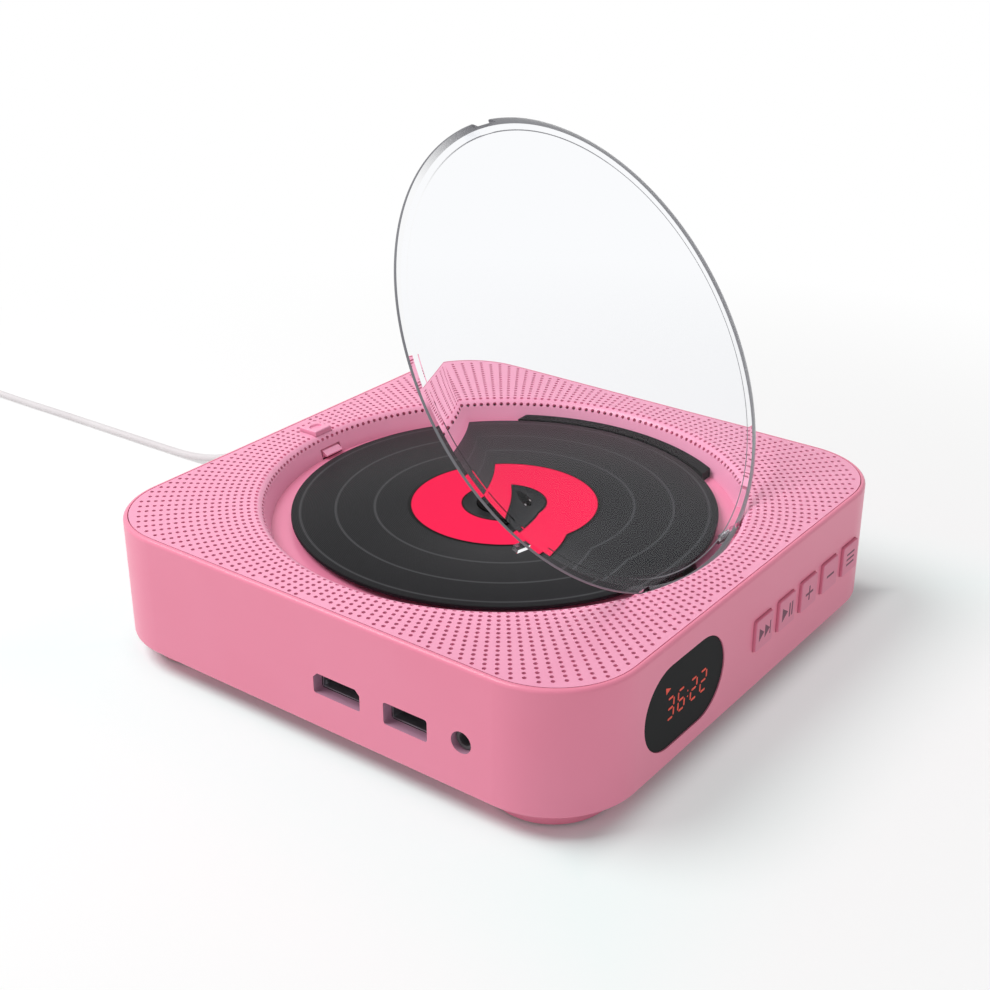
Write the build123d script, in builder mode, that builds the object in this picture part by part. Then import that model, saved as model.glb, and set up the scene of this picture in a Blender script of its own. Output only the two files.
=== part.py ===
from build123d import *
import math
import os

# Top-loading disc player with a perforated top and a hinged clear lid.
# Millimetres, +Z up, the floor at 0. The disc turns about x = y = 0.
# +X is the side with the display and keys, -Y the side with the sockets.

os.makedirs("parts", exist_ok=True)

# Case
BODY_HALF = 81.8
BODY_R = 24.25
WALL_BOTTOM_Z = 6.2
TOP_Z = 41.4
INNER_HALF = 79.4
INNER_R = 21.85
REBATE_HALF = 80.55
REBATE_R = 23.0
PLATE_Z = 39.4
PLATE_HALF = 80.4
PLATE_R = 22.85
RIM_FILLET = 1.1
BOTTOM_FILLET = 0.8
BOSS_AT = 59.5
BOSS_R = 4.0
BOSS_TOP_Z = 25.0
COVER_Z = 6.6
COVER_TOP_Z = 8.6
COVER_HALF = 79.2
COVER_R = 21.65

# Perforated top: rings of holes on radial columns
HOLE_D = 1.0
HOLE_COLUMNS = 200
HOLE_FIRST_DEG = 1.516
RING_FIRST_R = 69.54
RING_PITCH = 1.982
RING_COUNT = 18
HOLE_MARGIN = 1.5

# Disc well
ROLL_R = 3.4
ROLL_CENTRE_R = 70.3
WELL_FOOT_R = 65.48
WELL_FLOOR_Z = 34.7
TUB_BOTTOM_Z = 33.2
TUB_R = 68.5
TUB_POST_AT = 44.0
PANEL_BOSS_R = 73.0
PANEL_BOSS_DEG = (25, 155, 205, 335)

# Lid and its hinge
HINGE_X = 60.86
HINGE_Z = 38.34
LID_OPEN_DEG = 56.2
LID_R = 65.4
LID_UNDER_Z = 39.8
LID_EDGE_Z = 40.4
LID_TOP_Z = 44.0
LID_CROWN_R = 58.0
LID_POST_Z = 35.7
LUG_Y = (21.6, 24.4)
EAR_Y = (24.8, 26.4)
PIN_R = 0.6

# Disc
DISC_R = 60.0
DISC_UNDER_Z = 36.3
DISC_TOP_Z = 37.5

# Side openings
WINDOW_Y = -35.5
WINDOW_Z = 23.2
WINDOW_LENGTH = 38.0
WINDOW_HEIGHT = 23.5
KEY_YS = (3.5, 16.4, 29.3, 42.2, 55.0)
KEY_Z = 22.75
KEY_SIZE = 9.2
KEY_HOLE = 9.6
HDMI_X = 9.0
HDMI_W = 15.4
HDMI_Z = (16.5, 22.5)
USB_X = 31.15
USB_W = 13.7
USB_Z = (16.2, 22.5)
JACK_X = 48.3
JACK_Z = 20.5
HDMI_CUT = 1.4
COLLAR_X = 26.5
COLLAR_WIDTH = 54.0
COLLAR_INNER_Y = 78.6
DC_Y = 23.6
DC_Z = 13.0

# Deck inside the case
CHASSIS_Z = 24.0
CHASSIS_TOP_Z = 25.2
ROD_Y = 18.0
ROD_Z = 27.6
ROD_R = 1.5
LENS_X = 36.0
DAMPER_Y = 25.0
SCREW_Y = -23.0
SCREW_START_X = 14.5
SCREW_PITCH = 3.0
SCREW_TURNS = 12
TONGUE_X = SCREW_START_X + 4.5 * SCREW_PITCH
BOARD_Z = 14.4
BOARD_TOP_Z = 16.0
SPEAKER_AT = 60.8
BOARD_SCREWS = ((-48.0, -72.0), (50.0, -60.0), (-20.0, -34.0), (50.5, -48.0))

# Feet
FOOT_X = 59.5
FOOT_Y = 60.0
FOOT_R = 17.5
FOOT_BOTTOM_R = 16.0
PAD_R = 12.0

# Cord
CORD_D = 2.6
CORD_R = CORD_D / 2


def save(builder, name):
    builder.part.label = name
    export_step(builder.part, f"parts/{name}.step")


def both(value):
    return (-value, value)


# Housing: the four walls, with the rebate for the top plate and four bosses
with BuildPart() as main_housing:
    with BuildSketch(Plane.XY.offset(WALL_BOTTOM_Z)):
        RectangleRounded(2 * BODY_HALF, 2 * BODY_HALF, BODY_R)
        RectangleRounded(2 * INNER_HALF, 2 * INNER_HALF, INNER_R, mode=Mode.SUBTRACT)
    extrude(amount=TOP_Z - WALL_BOTTOM_Z)
    with BuildSketch(Plane.XY.offset(PLATE_Z)):
        RectangleRounded(2 * REBATE_HALF, 2 * REBATE_HALF, REBATE_R)
    extrude(amount=TOP_Z - PLATE_Z, mode=Mode.SUBTRACT)
    rim_loops = main_housing.faces().sort_by(Axis.Z)[-1].outer_wire().edges()
    fillet(rim_loops, radius=RIM_FILLET)
    foot_loops = main_housing.faces().sort_by(Axis.Z)[0].outer_wire().edges()
    fillet(foot_loops, radius=BOTTOM_FILLET)
    # Bosses over the feet, each tied to its corner by a diagonal rib
    for sx in (-1, 1):
        for sy in (-1, 1):
            with BuildSketch(Plane.XY.offset(COVER_TOP_Z)):
                with Locations((sx * BOSS_AT, sy * BOSS_AT)):
                    Circle(BOSS_R)
                with Locations(Location((sx * 67.0, sy * 67.0, 0), (0, 0, 45 * sx * sy))):
                    Rectangle(20.0, 1.8)
                with Locations((sx * BOSS_AT, sy * BOSS_AT)):
                    Circle(1.25, mode=Mode.SUBTRACT)
            extrude(amount=BOSS_TOP_Z - COVER_TOP_Z)
    # Display window
    with BuildSketch(Plane.YZ.offset(INNER_HALF - 1.0)):
        with Locations((WINDOW_Y, WINDOW_Z)):
            SlotOverall(WINDOW_LENGTH, WINDOW_HEIGHT)
    extrude(amount=8.0, mode=Mode.SUBTRACT)
    # Key holes
    with BuildSketch(Plane.YZ.offset(INNER_HALF - 1.0)):
        with Locations(*[(y, KEY_Z) for y in KEY_YS]):
            RectangleRounded(KEY_HOLE, KEY_HOLE, 0.8)
    extrude(amount=8.0, mode=Mode.SUBTRACT)
    # Thicker wall round the sockets, and their openings
    with Locations((COLLAR_X, -COLLAR_INNER_Y, 20.0)):
        Box(COLLAR_WIDTH, 1.4, 9.0, align=(Align.CENTER, Align.MAX, Align.CENTER))
    with BuildSketch(Plane.XZ.offset(COLLAR_INNER_Y - 1.0)):
        with Locations((HDMI_X, sum(HDMI_Z) / 2)):
            RectangleRounded(HDMI_W, HDMI_Z[1] - HDMI_Z[0], 0.7)
        for side in (-1, 1):
            with BuildLine():
                corner_x = HDMI_X + side * HDMI_W / 2
                Polyline(
                    (corner_x, HDMI_Z[1]),
                    (corner_x, HDMI_Z[1] - HDMI_CUT),
                    (corner_x - side * HDMI_CUT, HDMI_Z[1]),
                    close=True,
                )
            make_face(mode=Mode.SUBTRACT)
        with Locations((USB_X, sum(USB_Z) / 2)):
            RectangleRounded(USB_W, USB_Z[1] - USB_Z[0], 0.8)
        with Locations((JACK_X, JACK_Z)):
            Circle(3.0)
    extrude(amount=8.0, mode=Mode.SUBTRACT)
    # Hole for the power plug in the -X wall
    with BuildSketch(Plane.YZ.offset(-INNER_HALF + 1.0)):
        with Locations((DC_Y, DC_Z)):
            Circle(4.0)
    extrude(amount=-8.0, mode=Mode.SUBTRACT)
save(main_housing, "main_housing")


def inside_plate(x, y, margin):
    half = PLATE_HALF - margin
    radius = PLATE_R - margin
    dx = max(abs(x) - (half - radius), 0)
    dy = max(abs(y) - (half - radius), 0)
    return abs(x) <= half and abs(y) <= half and math.hypot(dx, dy) <= radius


def grille_points():
    points = []
    for ring in range(RING_COUNT):
        radius = RING_FIRST_R + RING_PITCH * ring
        if radius < ROLL_CENTRE_R + 0.8:
            continue
        for column in range(HOLE_COLUMNS):
            angle = math.radians(HOLE_FIRST_DEG + 360.0 / HOLE_COLUMNS * column)
            x = radius * math.cos(angle)
            y = radius * math.sin(angle)
            if inside_plate(x, y, HOLE_MARGIN):
                points.append((x, y))
    return points


def over_speaker(point):
    return any(
        math.hypot(point[0] + SPEAKER_AT, point[1] - sy * SPEAKER_AT) < 12.5
        for sy in (-1, 1)
    )


# Top plate: perforated, with the wall of the disc well rolled down from its edge
with BuildPart() as grille_panel:
    with BuildSketch(Plane.XY.offset(PLATE_Z)):
        RectangleRounded(2 * PLATE_HALF, 2 * PLATE_HALF, PLATE_R)
        Circle(ROLL_CENTRE_R, mode=Mode.SUBTRACT)
    extrude(amount=TOP_Z - PLATE_Z)
    # Rolled edge and leaning wall, turned about the disc axis
    with BuildSketch(Plane.XZ):
        with BuildLine():
            roll_centre = (ROLL_CENTRE_R, TOP_Z - ROLL_R)
            RadiusArc((67.105, 39.163), (ROLL_CENTRE_R, TOP_Z), ROLL_R)
            Line((ROLL_CENTRE_R, TOP_Z), (ROLL_CENTRE_R, PLATE_Z))
            Line((ROLL_CENTRE_R, PLATE_Z), (68.6, 38.75))
            Line((68.6, 38.75), (67.08, WELL_FLOOR_Z))
            Line((67.08, WELL_FLOOR_Z), (WELL_FOOT_R, WELL_FLOOR_Z))
            Line((WELL_FOOT_R, WELL_FLOOR_Z), (67.105, 39.163))
        make_face()
    revolve(axis=Axis.Z)
    # Bosses that the tub is screwed to
    for deg in PANEL_BOSS_DEG:
        px = PANEL_BOSS_R * math.cos(math.radians(deg))
        py = PANEL_BOSS_R * math.sin(math.radians(deg))
        with BuildSketch(Plane.XY.offset(WELL_FLOOR_Z)):
            with Locations((px, py)):
                Circle(2.6)
                Circle(0.8, mode=Mode.SUBTRACT)
        extrude(amount=PLATE_Z - WELL_FLOOR_Z + 0.4)
    # Hole for the open button
    with BuildSketch(Plane.XY.offset(37.0)):
        with Locations((-72.1, 0)):
            Rectangle(7.0, 7.4)
    extrude(amount=6.0, mode=Mode.SUBTRACT)
    # Slot for the latch
    with BuildSketch(Plane.XY.offset(WELL_FLOOR_Z - 0.1)):
        with Locations((-67.5, 0)):
            Rectangle(7.0, 8.2)
    extrude(amount=2.9, mode=Mode.SUBTRACT)
    # Notch for the hinge
    with BuildSketch(Plane.XY.offset(WELL_FLOOR_Z - 0.1)):
        with Locations((64.5, 0)):
            Rectangle(9.0, 53.4)
    extrude(amount=5.6, mode=Mode.SUBTRACT)
    # The perforations over the two speakers
    with BuildSketch(Plane.XY.offset(PLATE_Z - 0.5)):
        with Locations(*[point for point in grille_points() if over_speaker(point)]):
            Circle(HOLE_D / 2)
    extrude(amount=3.0, mode=Mode.SUBTRACT)
save(grille_panel, "grille_panel")


# Floor of the disc well, with posts, ears for the hinge and a shelf for the latch
with BuildPart() as disc_tub:
    with BuildSketch(Plane.XY.offset(TUB_BOTTOM_Z)):
        Circle(TUB_R)
        with Locations((-72.0, 0)):
            Rectangle(14.6, 17.2)
        for deg in PANEL_BOSS_DEG:
            lug_x = PANEL_BOSS_R * math.cos(math.radians(deg))
            lug_y = PANEL_BOSS_R * math.sin(math.radians(deg))
            with Locations((lug_x, lug_y)):
                Circle(3.4)
            with Locations(Location((0.96 * lug_x, 0.96 * lug_y, 0), (0, 0, deg))):
                Rectangle(6.0, 6.8)
        # Centre hole and the slot that the lens travels under
        Circle(21.0, mode=Mode.SUBTRACT)
        with Locations((LENS_X - 5.5, 0)):
            SlotOverall(61.0, 16.0, mode=Mode.SUBTRACT)
        for deg in PANEL_BOSS_DEG:
            hole_x = PANEL_BOSS_R * math.cos(math.radians(deg))
            hole_y = PANEL_BOSS_R * math.sin(math.radians(deg))
            with Locations((hole_x, hole_y)):
                Circle(1.2, mode=Mode.SUBTRACT)
        with Locations((-67.4, 0)):
            Circle(0.9, mode=Mode.SUBTRACT)
    extrude(amount=WELL_FLOOR_Z - TUB_BOTTOM_Z)
    # Posts down to the bottom cover
    with BuildSketch(Plane.XY.offset(COVER_TOP_Z)):
        with GridLocations(2 * TUB_POST_AT, 2 * TUB_POST_AT, 2, 2):
            Circle(3.5)
            Circle(1.25, mode=Mode.SUBTRACT)
    extrude(amount=TUB_BOTTOM_Z - COVER_TOP_Z)
    # Posts that the deck hangs from
    with BuildSketch(Plane.XY.offset(CHASSIS_TOP_Z + 1.0)):
        with Locations(*[(x, y) for x in (-30.0, 58.0) for y in both(DAMPER_Y)]):
            Circle(3.0)
            Circle(1.05, mode=Mode.SUBTRACT)
    extrude(amount=TUB_BOTTOM_Z - CHASSIS_TOP_Z - 1.0)
    # Ears with the hinge bore
    for side in (-1, 1):
        with BuildSketch(Plane.XZ.offset(-side * EAR_Y[0])):
            with Locations((HINGE_X, (WELL_FLOOR_Z + HINGE_Z) / 2)):
                Rectangle(2.3, HINGE_Z - WELL_FLOOR_Z)
            with Locations((HINGE_X, HINGE_Z)):
                Circle(1.15)
                Circle(0.62, mode=Mode.SUBTRACT)
        extrude(amount=-side * (EAR_Y[1] - EAR_Y[0]))
    # Stop block between the two hinge ears
    with BuildSketch(Plane.XY.offset(WELL_FLOOR_Z)):
        with Locations((65.0, 0)):
            Rectangle(3.0, 10.0)
    extrude(amount=0.5)
save(disc_tub, "disc_tub")


# Rubber finger pad on the tub floor: a crescent with ends cut parallel to Y
with BuildPart() as finger_pad:
    with BuildSketch(Plane.XY.offset(WELL_FLOOR_Z)):
        Circle(65.1)
        Circle(61.2, mode=Mode.SUBTRACT)
        with Locations((0, -40.0)):
            Rectangle(140.0, 130.0, mode=Mode.SUBTRACT)
        with Locations((1.0, 60.0)):
            Rectangle(68.0, 80.0, mode=Mode.INTERSECT)
    extrude(amount=2.7)
save(finger_pad, "finger_pad")


# Bottom cover, with vents and the holes for the foot and tub screws
with BuildPart() as bottom_cover:
    with BuildSketch(Plane.XY.offset(COVER_Z)):
        RectangleRounded(2 * COVER_HALF, 2 * COVER_HALF, COVER_R)
        with GridLocations(2 * BOSS_AT, 2 * BOSS_AT, 2, 2):
            Circle(1.7, mode=Mode.SUBTRACT)
        with GridLocations(2 * TUB_POST_AT, 2 * TUB_POST_AT, 2, 2):
            Circle(1.7, mode=Mode.SUBTRACT)
        with GridLocations(0, 7.0, 1, 7):
            SlotOverall(42.0, 2.4, mode=Mode.SUBTRACT)
    extrude(amount=COVER_TOP_Z - COVER_Z)
    # Pillars of the main board
    with BuildSketch(Plane.XY.offset(COVER_TOP_Z)):
        with Locations(*BOARD_SCREWS):
            Circle(2.6)
            Circle(0.95, mode=Mode.SUBTRACT)
    extrude(amount=BOARD_Z - COVER_TOP_Z)
save(bottom_cover, "bottom_cover")


# Four feet under the cover, each with a recess for its screw and rubber pad
with BuildPart() as feet:
    for sx in (-1, 1):
        for sy in (-1, 1):
            with BuildSketch(Plane.XY.offset(COVER_Z)):
                with Locations((sx * FOOT_X, sy * FOOT_Y)):
                    Circle(FOOT_R)
            with BuildSketch(Plane.XY.offset(0.9)):
                with Locations((sx * FOOT_X, sy * FOOT_Y)):
                    Circle(FOOT_BOTTOM_R)
            loft()
    with BuildSketch(Plane.XY.offset(0.9)):
        for sx in (-1, 1):
            for sy in (-1, 1):
                with Locations((sx * FOOT_X, sy * FOOT_Y)):
                    Circle(PAD_R + 0.1)
    extrude(amount=0.8, mode=Mode.SUBTRACT)
    with BuildSketch(Plane.XY.offset(0.9)):
        with GridLocations(2 * BOSS_AT, 2 * BOSS_AT, 2, 2):
            Circle(3.4)
    extrude(amount=3.7, mode=Mode.SUBTRACT)
    with BuildSketch(Plane.XY.offset(0.9)):
        with GridLocations(2 * BOSS_AT, 2 * BOSS_AT, 2, 2):
            Circle(1.7)
    extrude(amount=8.0, mode=Mode.SUBTRACT)
save(feet, "feet")


# Rubber pads in the feet
with BuildPart() as foot_pads:
    for sx in (-1, 1):
        for sy in (-1, 1):
            with BuildSketch(Plane.XY):
                with Locations((sx * FOOT_X, sy * FOOT_Y)):
                    Circle(PAD_R)
            extrude(amount=1.7)
    fillet(foot_pads.faces().filter_by(Axis.Z).group_by(Axis.Z)[0].edges(), radius=0.4)
save(foot_pads, "foot_pads")


def screw(x, y, head_z, head_r, head_h, shank_r, length):
    # Pan-head screw, its head below and its shank up
    with Locations((x, y, head_z)):
        Cylinder(head_r, head_h, align=(Align.CENTER, Align.CENTER, Align.MIN))
    with Locations((x, y, head_z + head_h)):
        Cylinder(shank_r, length, align=(Align.CENTER, Align.CENTER, Align.MIN))
    with Locations((x, y, head_z)):
        Box(head_r * 1.2, 0.5, 0.5, align=(Align.CENTER, Align.CENTER, Align.MIN), mode=Mode.SUBTRACT)
    with Locations((x, y, head_z)):
        Box(0.5, head_r * 1.2, 0.5, align=(Align.CENTER, Align.CENTER, Align.MIN), mode=Mode.SUBTRACT)


with BuildPart() as foot_screws:
    for sx in (-1, 1):
        for sy in (-1, 1):
            screw(sx * BOSS_AT, sy * BOSS_AT, 2.4, 3.0, 2.2, 1.2, 14.0)
save(foot_screws, "foot_screws")

with BuildPart() as tub_screws:
    for sx in (-1, 1):
        for sy in (-1, 1):
            screw(sx * TUB_POST_AT, sy * TUB_POST_AT, 4.6, 2.8, 2.0, 1.2, 12.0)
save(tub_screws, "tub_screws")

with BuildPart() as panel_screws:
    for deg in PANEL_BOSS_DEG:
        screw_x = PANEL_BOSS_R * math.cos(math.radians(deg))
        screw_y = PANEL_BOSS_R * math.sin(math.radians(deg))
        screw(screw_x, screw_y, 31.6, 2.2, 1.6, 0.76, 5.5)
save(panel_screws, "panel_screws")


# Lid: modelled shut, then swung open about the hinge
with BuildPart() as lid_shut:
    # The plate, turned about the disc axis, with a convex top edge
    with BuildSketch(Plane.XZ):
        with BuildLine():
            Line((0, LID_UNDER_Z), (LID_R, LID_UNDER_Z))
            Line((LID_R, LID_UNDER_Z), (LID_R, LID_EDGE_Z))
            TangentArc((LID_CROWN_R, LID_TOP_Z), (LID_R, LID_EDGE_Z), tangent=(1, 0))
            Line((LID_CROWN_R, LID_TOP_Z), (0, LID_TOP_Z))
            Line((0, LID_TOP_Z), (0, LID_UNDER_Z))
        make_face()
    revolve(axis=Axis.Z)
    # Shallow notch in the free edge
    with BuildSketch(Plane.XY.offset(LID_UNDER_Z - 1)):
        with Locations((-LID_R, 0)):
            RectangleRounded(2.8, 7.4, 0.6)
    extrude(amount=8.0, mode=Mode.SUBTRACT)
    # Catch with its barb under the free edge
    with BuildSketch(Plane.XZ.offset(2.6)):
        with BuildLine():
            Polyline(
                (-61.4, LID_UNDER_Z + 0.6),
                (-62.9, LID_UNDER_Z + 0.6),
                (-62.9, 35.45),
                (-65.0, 35.45),
                (-64.4, 34.9),
                (-61.4, 34.9),
                close=True,
            )
        make_face()
    extrude(amount=-5.2)
    # Lugs of the hinge
    for side in (-1, 1):
        with BuildSketch(Plane.XZ.offset(-side * LUG_Y[0])):
            with Locations((HINGE_X, (HINGE_Z + 40.4) / 2)):
                Rectangle(3.0, 40.4 - HINGE_Z)
            with Locations((HINGE_X, HINGE_Z)):
                Circle(1.5)
        extrude(amount=-side * (LUG_Y[1] - LUG_Y[0]))
    with BuildSketch(Plane.XZ.offset(30)):
        with Locations((HINGE_X, HINGE_Z)):
            Circle(0.68)
    extrude(amount=-60, mode=Mode.SUBTRACT)
    # Small post under the near edge
    with BuildSketch(Plane.XY.offset(LID_POST_Z)):
        with Locations(Location((34.3, -54.5, 0), (0, 0, -57.8))):
            RectangleRounded(1.4, 1.8, 0.4)
    extrude(amount=LID_UNDER_Z - LID_POST_Z + 0.4)

with BuildPart() as lid:
    add(lid_shut.part.rotate(Axis((HINGE_X, 0, HINGE_Z), (0, 1, 0)), LID_OPEN_DEG))
save(lid, "lid")


# Hinge pins: the one on the +Y side also carries the spring
with BuildPart() as hinge_pins:
    for start, length in ((-26.2, 4.4), (13.2, 13.0)):
        with BuildSketch(Plane.XZ.offset(-start)):
            with Locations((HINGE_X, HINGE_Z)):
                Circle(PIN_R)
        extrude(amount=-length)
save(hinge_pins, "hinge_pins")


# Torsion spring wound round the longer pin, with a straight leg at each end
LID_SPRING_R = 1.06
LID_SPRING_WIRE = 0.34
LID_SPRING_TURNS = 6
LID_SPRING_PITCH = 0.75
LID_SPRING_Y = 15.0
with BuildPart() as lid_spring:
    with BuildLine() as spring_path:
        Helix(
            pitch=LID_SPRING_PITCH,
            height=LID_SPRING_TURNS * LID_SPRING_PITCH,
            radius=LID_SPRING_R,
            center=(HINGE_X, LID_SPRING_Y, HINGE_Z),
            direction=(0, 1, 0),
        )
    start_point = spring_path.line @ 0
    start_tangent = spring_path.line % 0
    with BuildSketch(Plane(origin=start_point, z_dir=start_tangent)):
        Circle(LID_SPRING_WIRE / 2)
    sweep(path=spring_path.line, is_frenet=True)
save(lid_spring, "lid_spring")


# Open button: a block on the top plate, with a flange and stem below it
BUTTON_TOP_Z = 42.7
with BuildPart() as open_button:
    with BuildSketch(Plane.XZ.offset(3.4)):
        with BuildLine():
            Polyline(
                (-68.8, 40.5),
                (-68.8, BUTTON_TOP_Z),
                (-75.3, BUTTON_TOP_Z),
                (-75.3, 39.1),
                (-70.9, 39.1),
                (-70.5, 40.3),
                close=True,
            )
        make_face()
    extrude(amount=-6.8)
    fillet(open_button.faces().sort_by(Axis.Z)[-1].edges(), radius=0.45)
    # Flange that keeps the button under the plate
    with BuildSketch(Plane.XY.offset(38.3)):
        with Locations((-74.6, 0)):
            Rectangle(7.2, 15.2)
        with Locations((-76.0, 0)):
            Rectangle(5.0, 5.8, mode=Mode.SUBTRACT)
    extrude(amount=0.9)
    # Stem with a sloped toe
    with BuildSketch(Plane.XZ.offset(2.5)):
        with BuildLine():
            Polyline(
                (-73.9, 38.6),
                (-72.2, 36.9),
                (-71.2, 36.9),
                (-71.2, 38.6),
                close=True,
            )
        make_face()
    extrude(amount=-5.0)
    # Finger dimple
    with BuildSketch(Plane.XY.offset(BUTTON_TOP_Z - 0.6)):
        with Locations((-72.05, 0)):
            Ellipse(1.3, 2.1)
    extrude(amount=4.0, taper=-20, mode=Mode.SUBTRACT)
save(open_button, "open_button")


# Latch: slides away from the lid when the button's toe comes down on its ramp
LATCH_SPRING_Z = 36.15
with BuildPart() as latch:
    with BuildSketch(Plane.XY.offset(34.8)):
        with Locations((-70.75, 0)):
            Rectangle(9.5, 7.4)
        with Locations((-70.5, 0)):
            Rectangle(2.3, 5.6, mode=Mode.SUBTRACT)
    extrude(amount=1.4)
    with BuildSketch(Plane.XZ.offset(2.5)):
        with BuildLine():
            Polyline((-71.75, 36.2), (-73.0, 37.45), (-75.5, 37.45), (-75.5, 36.0), (-71.75, 36.0), close=True)
        make_face()
    extrude(amount=-5.0)
    # Bore that the spring's end sits in
    with Locations(Location((-74.4, 0, LATCH_SPRING_Z), (0, 90, 0))):
        Cylinder(1.1, 2.2, mode=Mode.SUBTRACT)
    # Riser and nose
    with BuildSketch(Plane.XZ.offset(3.5)):
        with BuildLine():
            Polyline(
                (-68.6, 36.0),
                (-66.2, 35.6),
                (-64.5, 35.6),
                (-64.4, 36.0),
                (-66.2, 37.1),
                (-68.2, 37.1),
                (-68.6, 36.8),
                close=True,
            )
        make_face()
    extrude(amount=-7.0)
save(latch, "latch")


def upright_spring(x, y, z0, z1, radius, wire, turns):
    # Compression spring on a vertical axis, with its wire ends inside z0 to z1
    height = z1 - z0 - wire
    with BuildLine() as coil:
        Helix(pitch=height / turns, height=height, radius=radius, center=(x, y, z0 + wire / 2))
    with BuildSketch(Plane(origin=coil.line @ 0, z_dir=coil.line % 0)) as section:
        Circle(wire / 2)
    sweep(sections=section.sketch, path=coil.line, is_frenet=True)


with BuildPart() as button_springs:
    for side in (-1, 1):
        upright_spring(-74.6, side * 6.0, WELL_FLOOR_Z + 0.05, 38.25, 1.1, 0.34, 4)
save(button_springs, "button_springs")

with BuildPart() as latch_spring:
    with BuildLine() as latch_coil:
        Helix(pitch=0.95, height=3.8, radius=0.7, center=(-79.1, 0, LATCH_SPRING_Z), direction=(1, 0, 0))
    with BuildSketch(Plane(origin=latch_coil.line @ 0, z_dir=latch_coil.line % 0)):
        Circle(0.17)
    sweep(path=latch_coil.line, is_frenet=True)
save(latch_spring, "latch_spring")


# Deck chassis: the plate that carries the motors, rods and sled
with BuildPart() as deck_chassis:
    with BuildSketch(Plane.XY.offset(CHASSIS_Z)):
        with Locations((14.0, 0)):
            RectangleRounded(96.0, 56.0, 4.0)
        Circle(9.0, mode=Mode.SUBTRACT)
        with Locations((39.0, 0)):
            Rectangle(46.0, 25.0, mode=Mode.SUBTRACT)
        with Locations(*[(x, y) for x in (-30.0, 58.0) for y in both(DAMPER_Y)]):
            Circle(2.6, mode=Mode.SUBTRACT)
        with Locations((6.0, SCREW_Y)):
            Rectangle(13.0, 12.0, mode=Mode.SUBTRACT)
    extrude(amount=CHASSIS_TOP_Z - CHASSIS_Z)
    # Bracket of the sled motor and the far bearing of its screw
    with Locations((13.2, SCREW_Y + 0.6, CHASSIS_Z)):
        Box(1.0, 9.0, 8.4, align=(Align.CENTER, Align.CENTER, Align.MIN))
    with Locations((52.4, SCREW_Y, CHASSIS_TOP_Z)):
        Box(1.4, 5.0, 4.6, align=(Align.CENTER, Align.CENTER, Align.MIN))
    with Locations(Location((33.0, SCREW_Y, ROD_Z), (0, 90, 0))):
        Cylinder(0.84, 60.0, mode=Mode.SUBTRACT)
    # Turned-up tabs that hold the rods
    for x in (14.0, 59.0):
        for y in both(ROD_Y):
            with Locations((x, y, CHASSIS_TOP_Z)):
                Box(1.6, 5.0, 4.6, align=(Align.CENTER, Align.CENTER, Align.MIN))
    for y in both(ROD_Y):
        with Locations(Location((36.0, y, ROD_Z), (0, 90, 0))):
            Cylinder(ROD_R + 0.04, 60.0, mode=Mode.SUBTRACT)
save(deck_chassis, "deck_chassis")


# Rubber dampers between the chassis and the tub, and the screws through them
with BuildPart() as deck_dampers:
    for x in (-30.0, 58.0):
        for y in both(DAMPER_Y):
            with Locations((x, y, 23.0)):
                Cylinder(4.2, 1.0, align=(Align.CENTER, Align.CENTER, Align.MIN))
                Cylinder(2.5, 3.2, align=(Align.CENTER, Align.CENTER, Align.MIN))
            with Locations((x, y, CHASSIS_TOP_Z)):
                Cylinder(4.2, 1.0, align=(Align.CENTER, Align.CENTER, Align.MIN))
            with Locations((x, y, 22.0)):
                Cylinder(1.3, 10.0, align=(Align.CENTER, Align.CENTER, Align.MIN), mode=Mode.SUBTRACT)
save(deck_dampers, "deck_dampers")

with BuildPart() as deck_screws:
    for x in (-30.0, 58.0):
        for y in both(DAMPER_Y):
            screw(x, y, 21.4, 2.4, 1.6, 1.0, 8.0)
save(deck_screws, "deck_screws")


# Spindle motor under the chassis and its shaft
with BuildPart() as spindle_motor:
    with Locations((0, 0, 17.6)):
        Cylinder(12.0, 6.4, align=(Align.CENTER, Align.CENTER, Align.MIN))
    with Locations((0, 0, 24.0)):
        Cylinder(5.0, 2.6, align=(Align.CENTER, Align.CENTER, Align.MIN))
    fillet(spindle_motor.edges().group_by(Axis.Z)[0], radius=0.8)
    with Locations((0, 0, 26.6)):
        Cylinder(1.0, 7.4, align=(Align.CENTER, Align.CENTER, Align.MIN))
save(spindle_motor, "spindle_motor")


# Turntable: platform, centring boss and bore for the motor shaft
BALL_Z = 37.45
BALL_CENTRES = [
    (6.7 * math.cos(math.radians(deg)), 6.7 * math.sin(math.radians(deg)))
    for deg in (40, 160, 280)
]
with BuildPart() as turntable:
    with BuildSketch(Plane.XZ):
        with BuildLine():
            Polyline(
                (1.05, 27.4),
                (4.0, 27.4),
                (4.0, 34.9),
                (16.0, 34.9),
                (16.0, DISC_UNDER_Z),
                (7.4, DISC_UNDER_Z),
                (7.4, 37.7),
                (6.4, 38.7),
                (0, 38.7),
                (0, 35.0),
                (1.05, 35.0),
                close=True,
            )
        make_face()
    revolve(axis=Axis.Z)
    # Pockets of the three clamp balls
    for ball_x, ball_y in BALL_CENTRES:
        with Locations((ball_x, ball_y, BALL_Z)):
            Cylinder(0.8, 1.6, mode=Mode.SUBTRACT)
save(turntable, "turntable")

with BuildPart() as clamp_balls:
    for ball_x, ball_y in BALL_CENTRES:
        with Locations((ball_x, ball_y, BALL_Z)):
            Sphere(0.75)
save(clamp_balls, "clamp_balls")


# Disc and the label on it
with BuildPart() as disc:
    with BuildSketch(Plane.XY.offset(DISC_UNDER_Z)):
        Circle(DISC_R)
        Circle(7.5, mode=Mode.SUBTRACT)
    extrude(amount=DISC_TOP_Z - DISC_UNDER_Z)
    fillet(disc.edges().group_by(Axis.Z)[-1].sort_by(SortBy.RADIUS)[-1:], radius=0.25)
save(disc, "disc")

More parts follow.
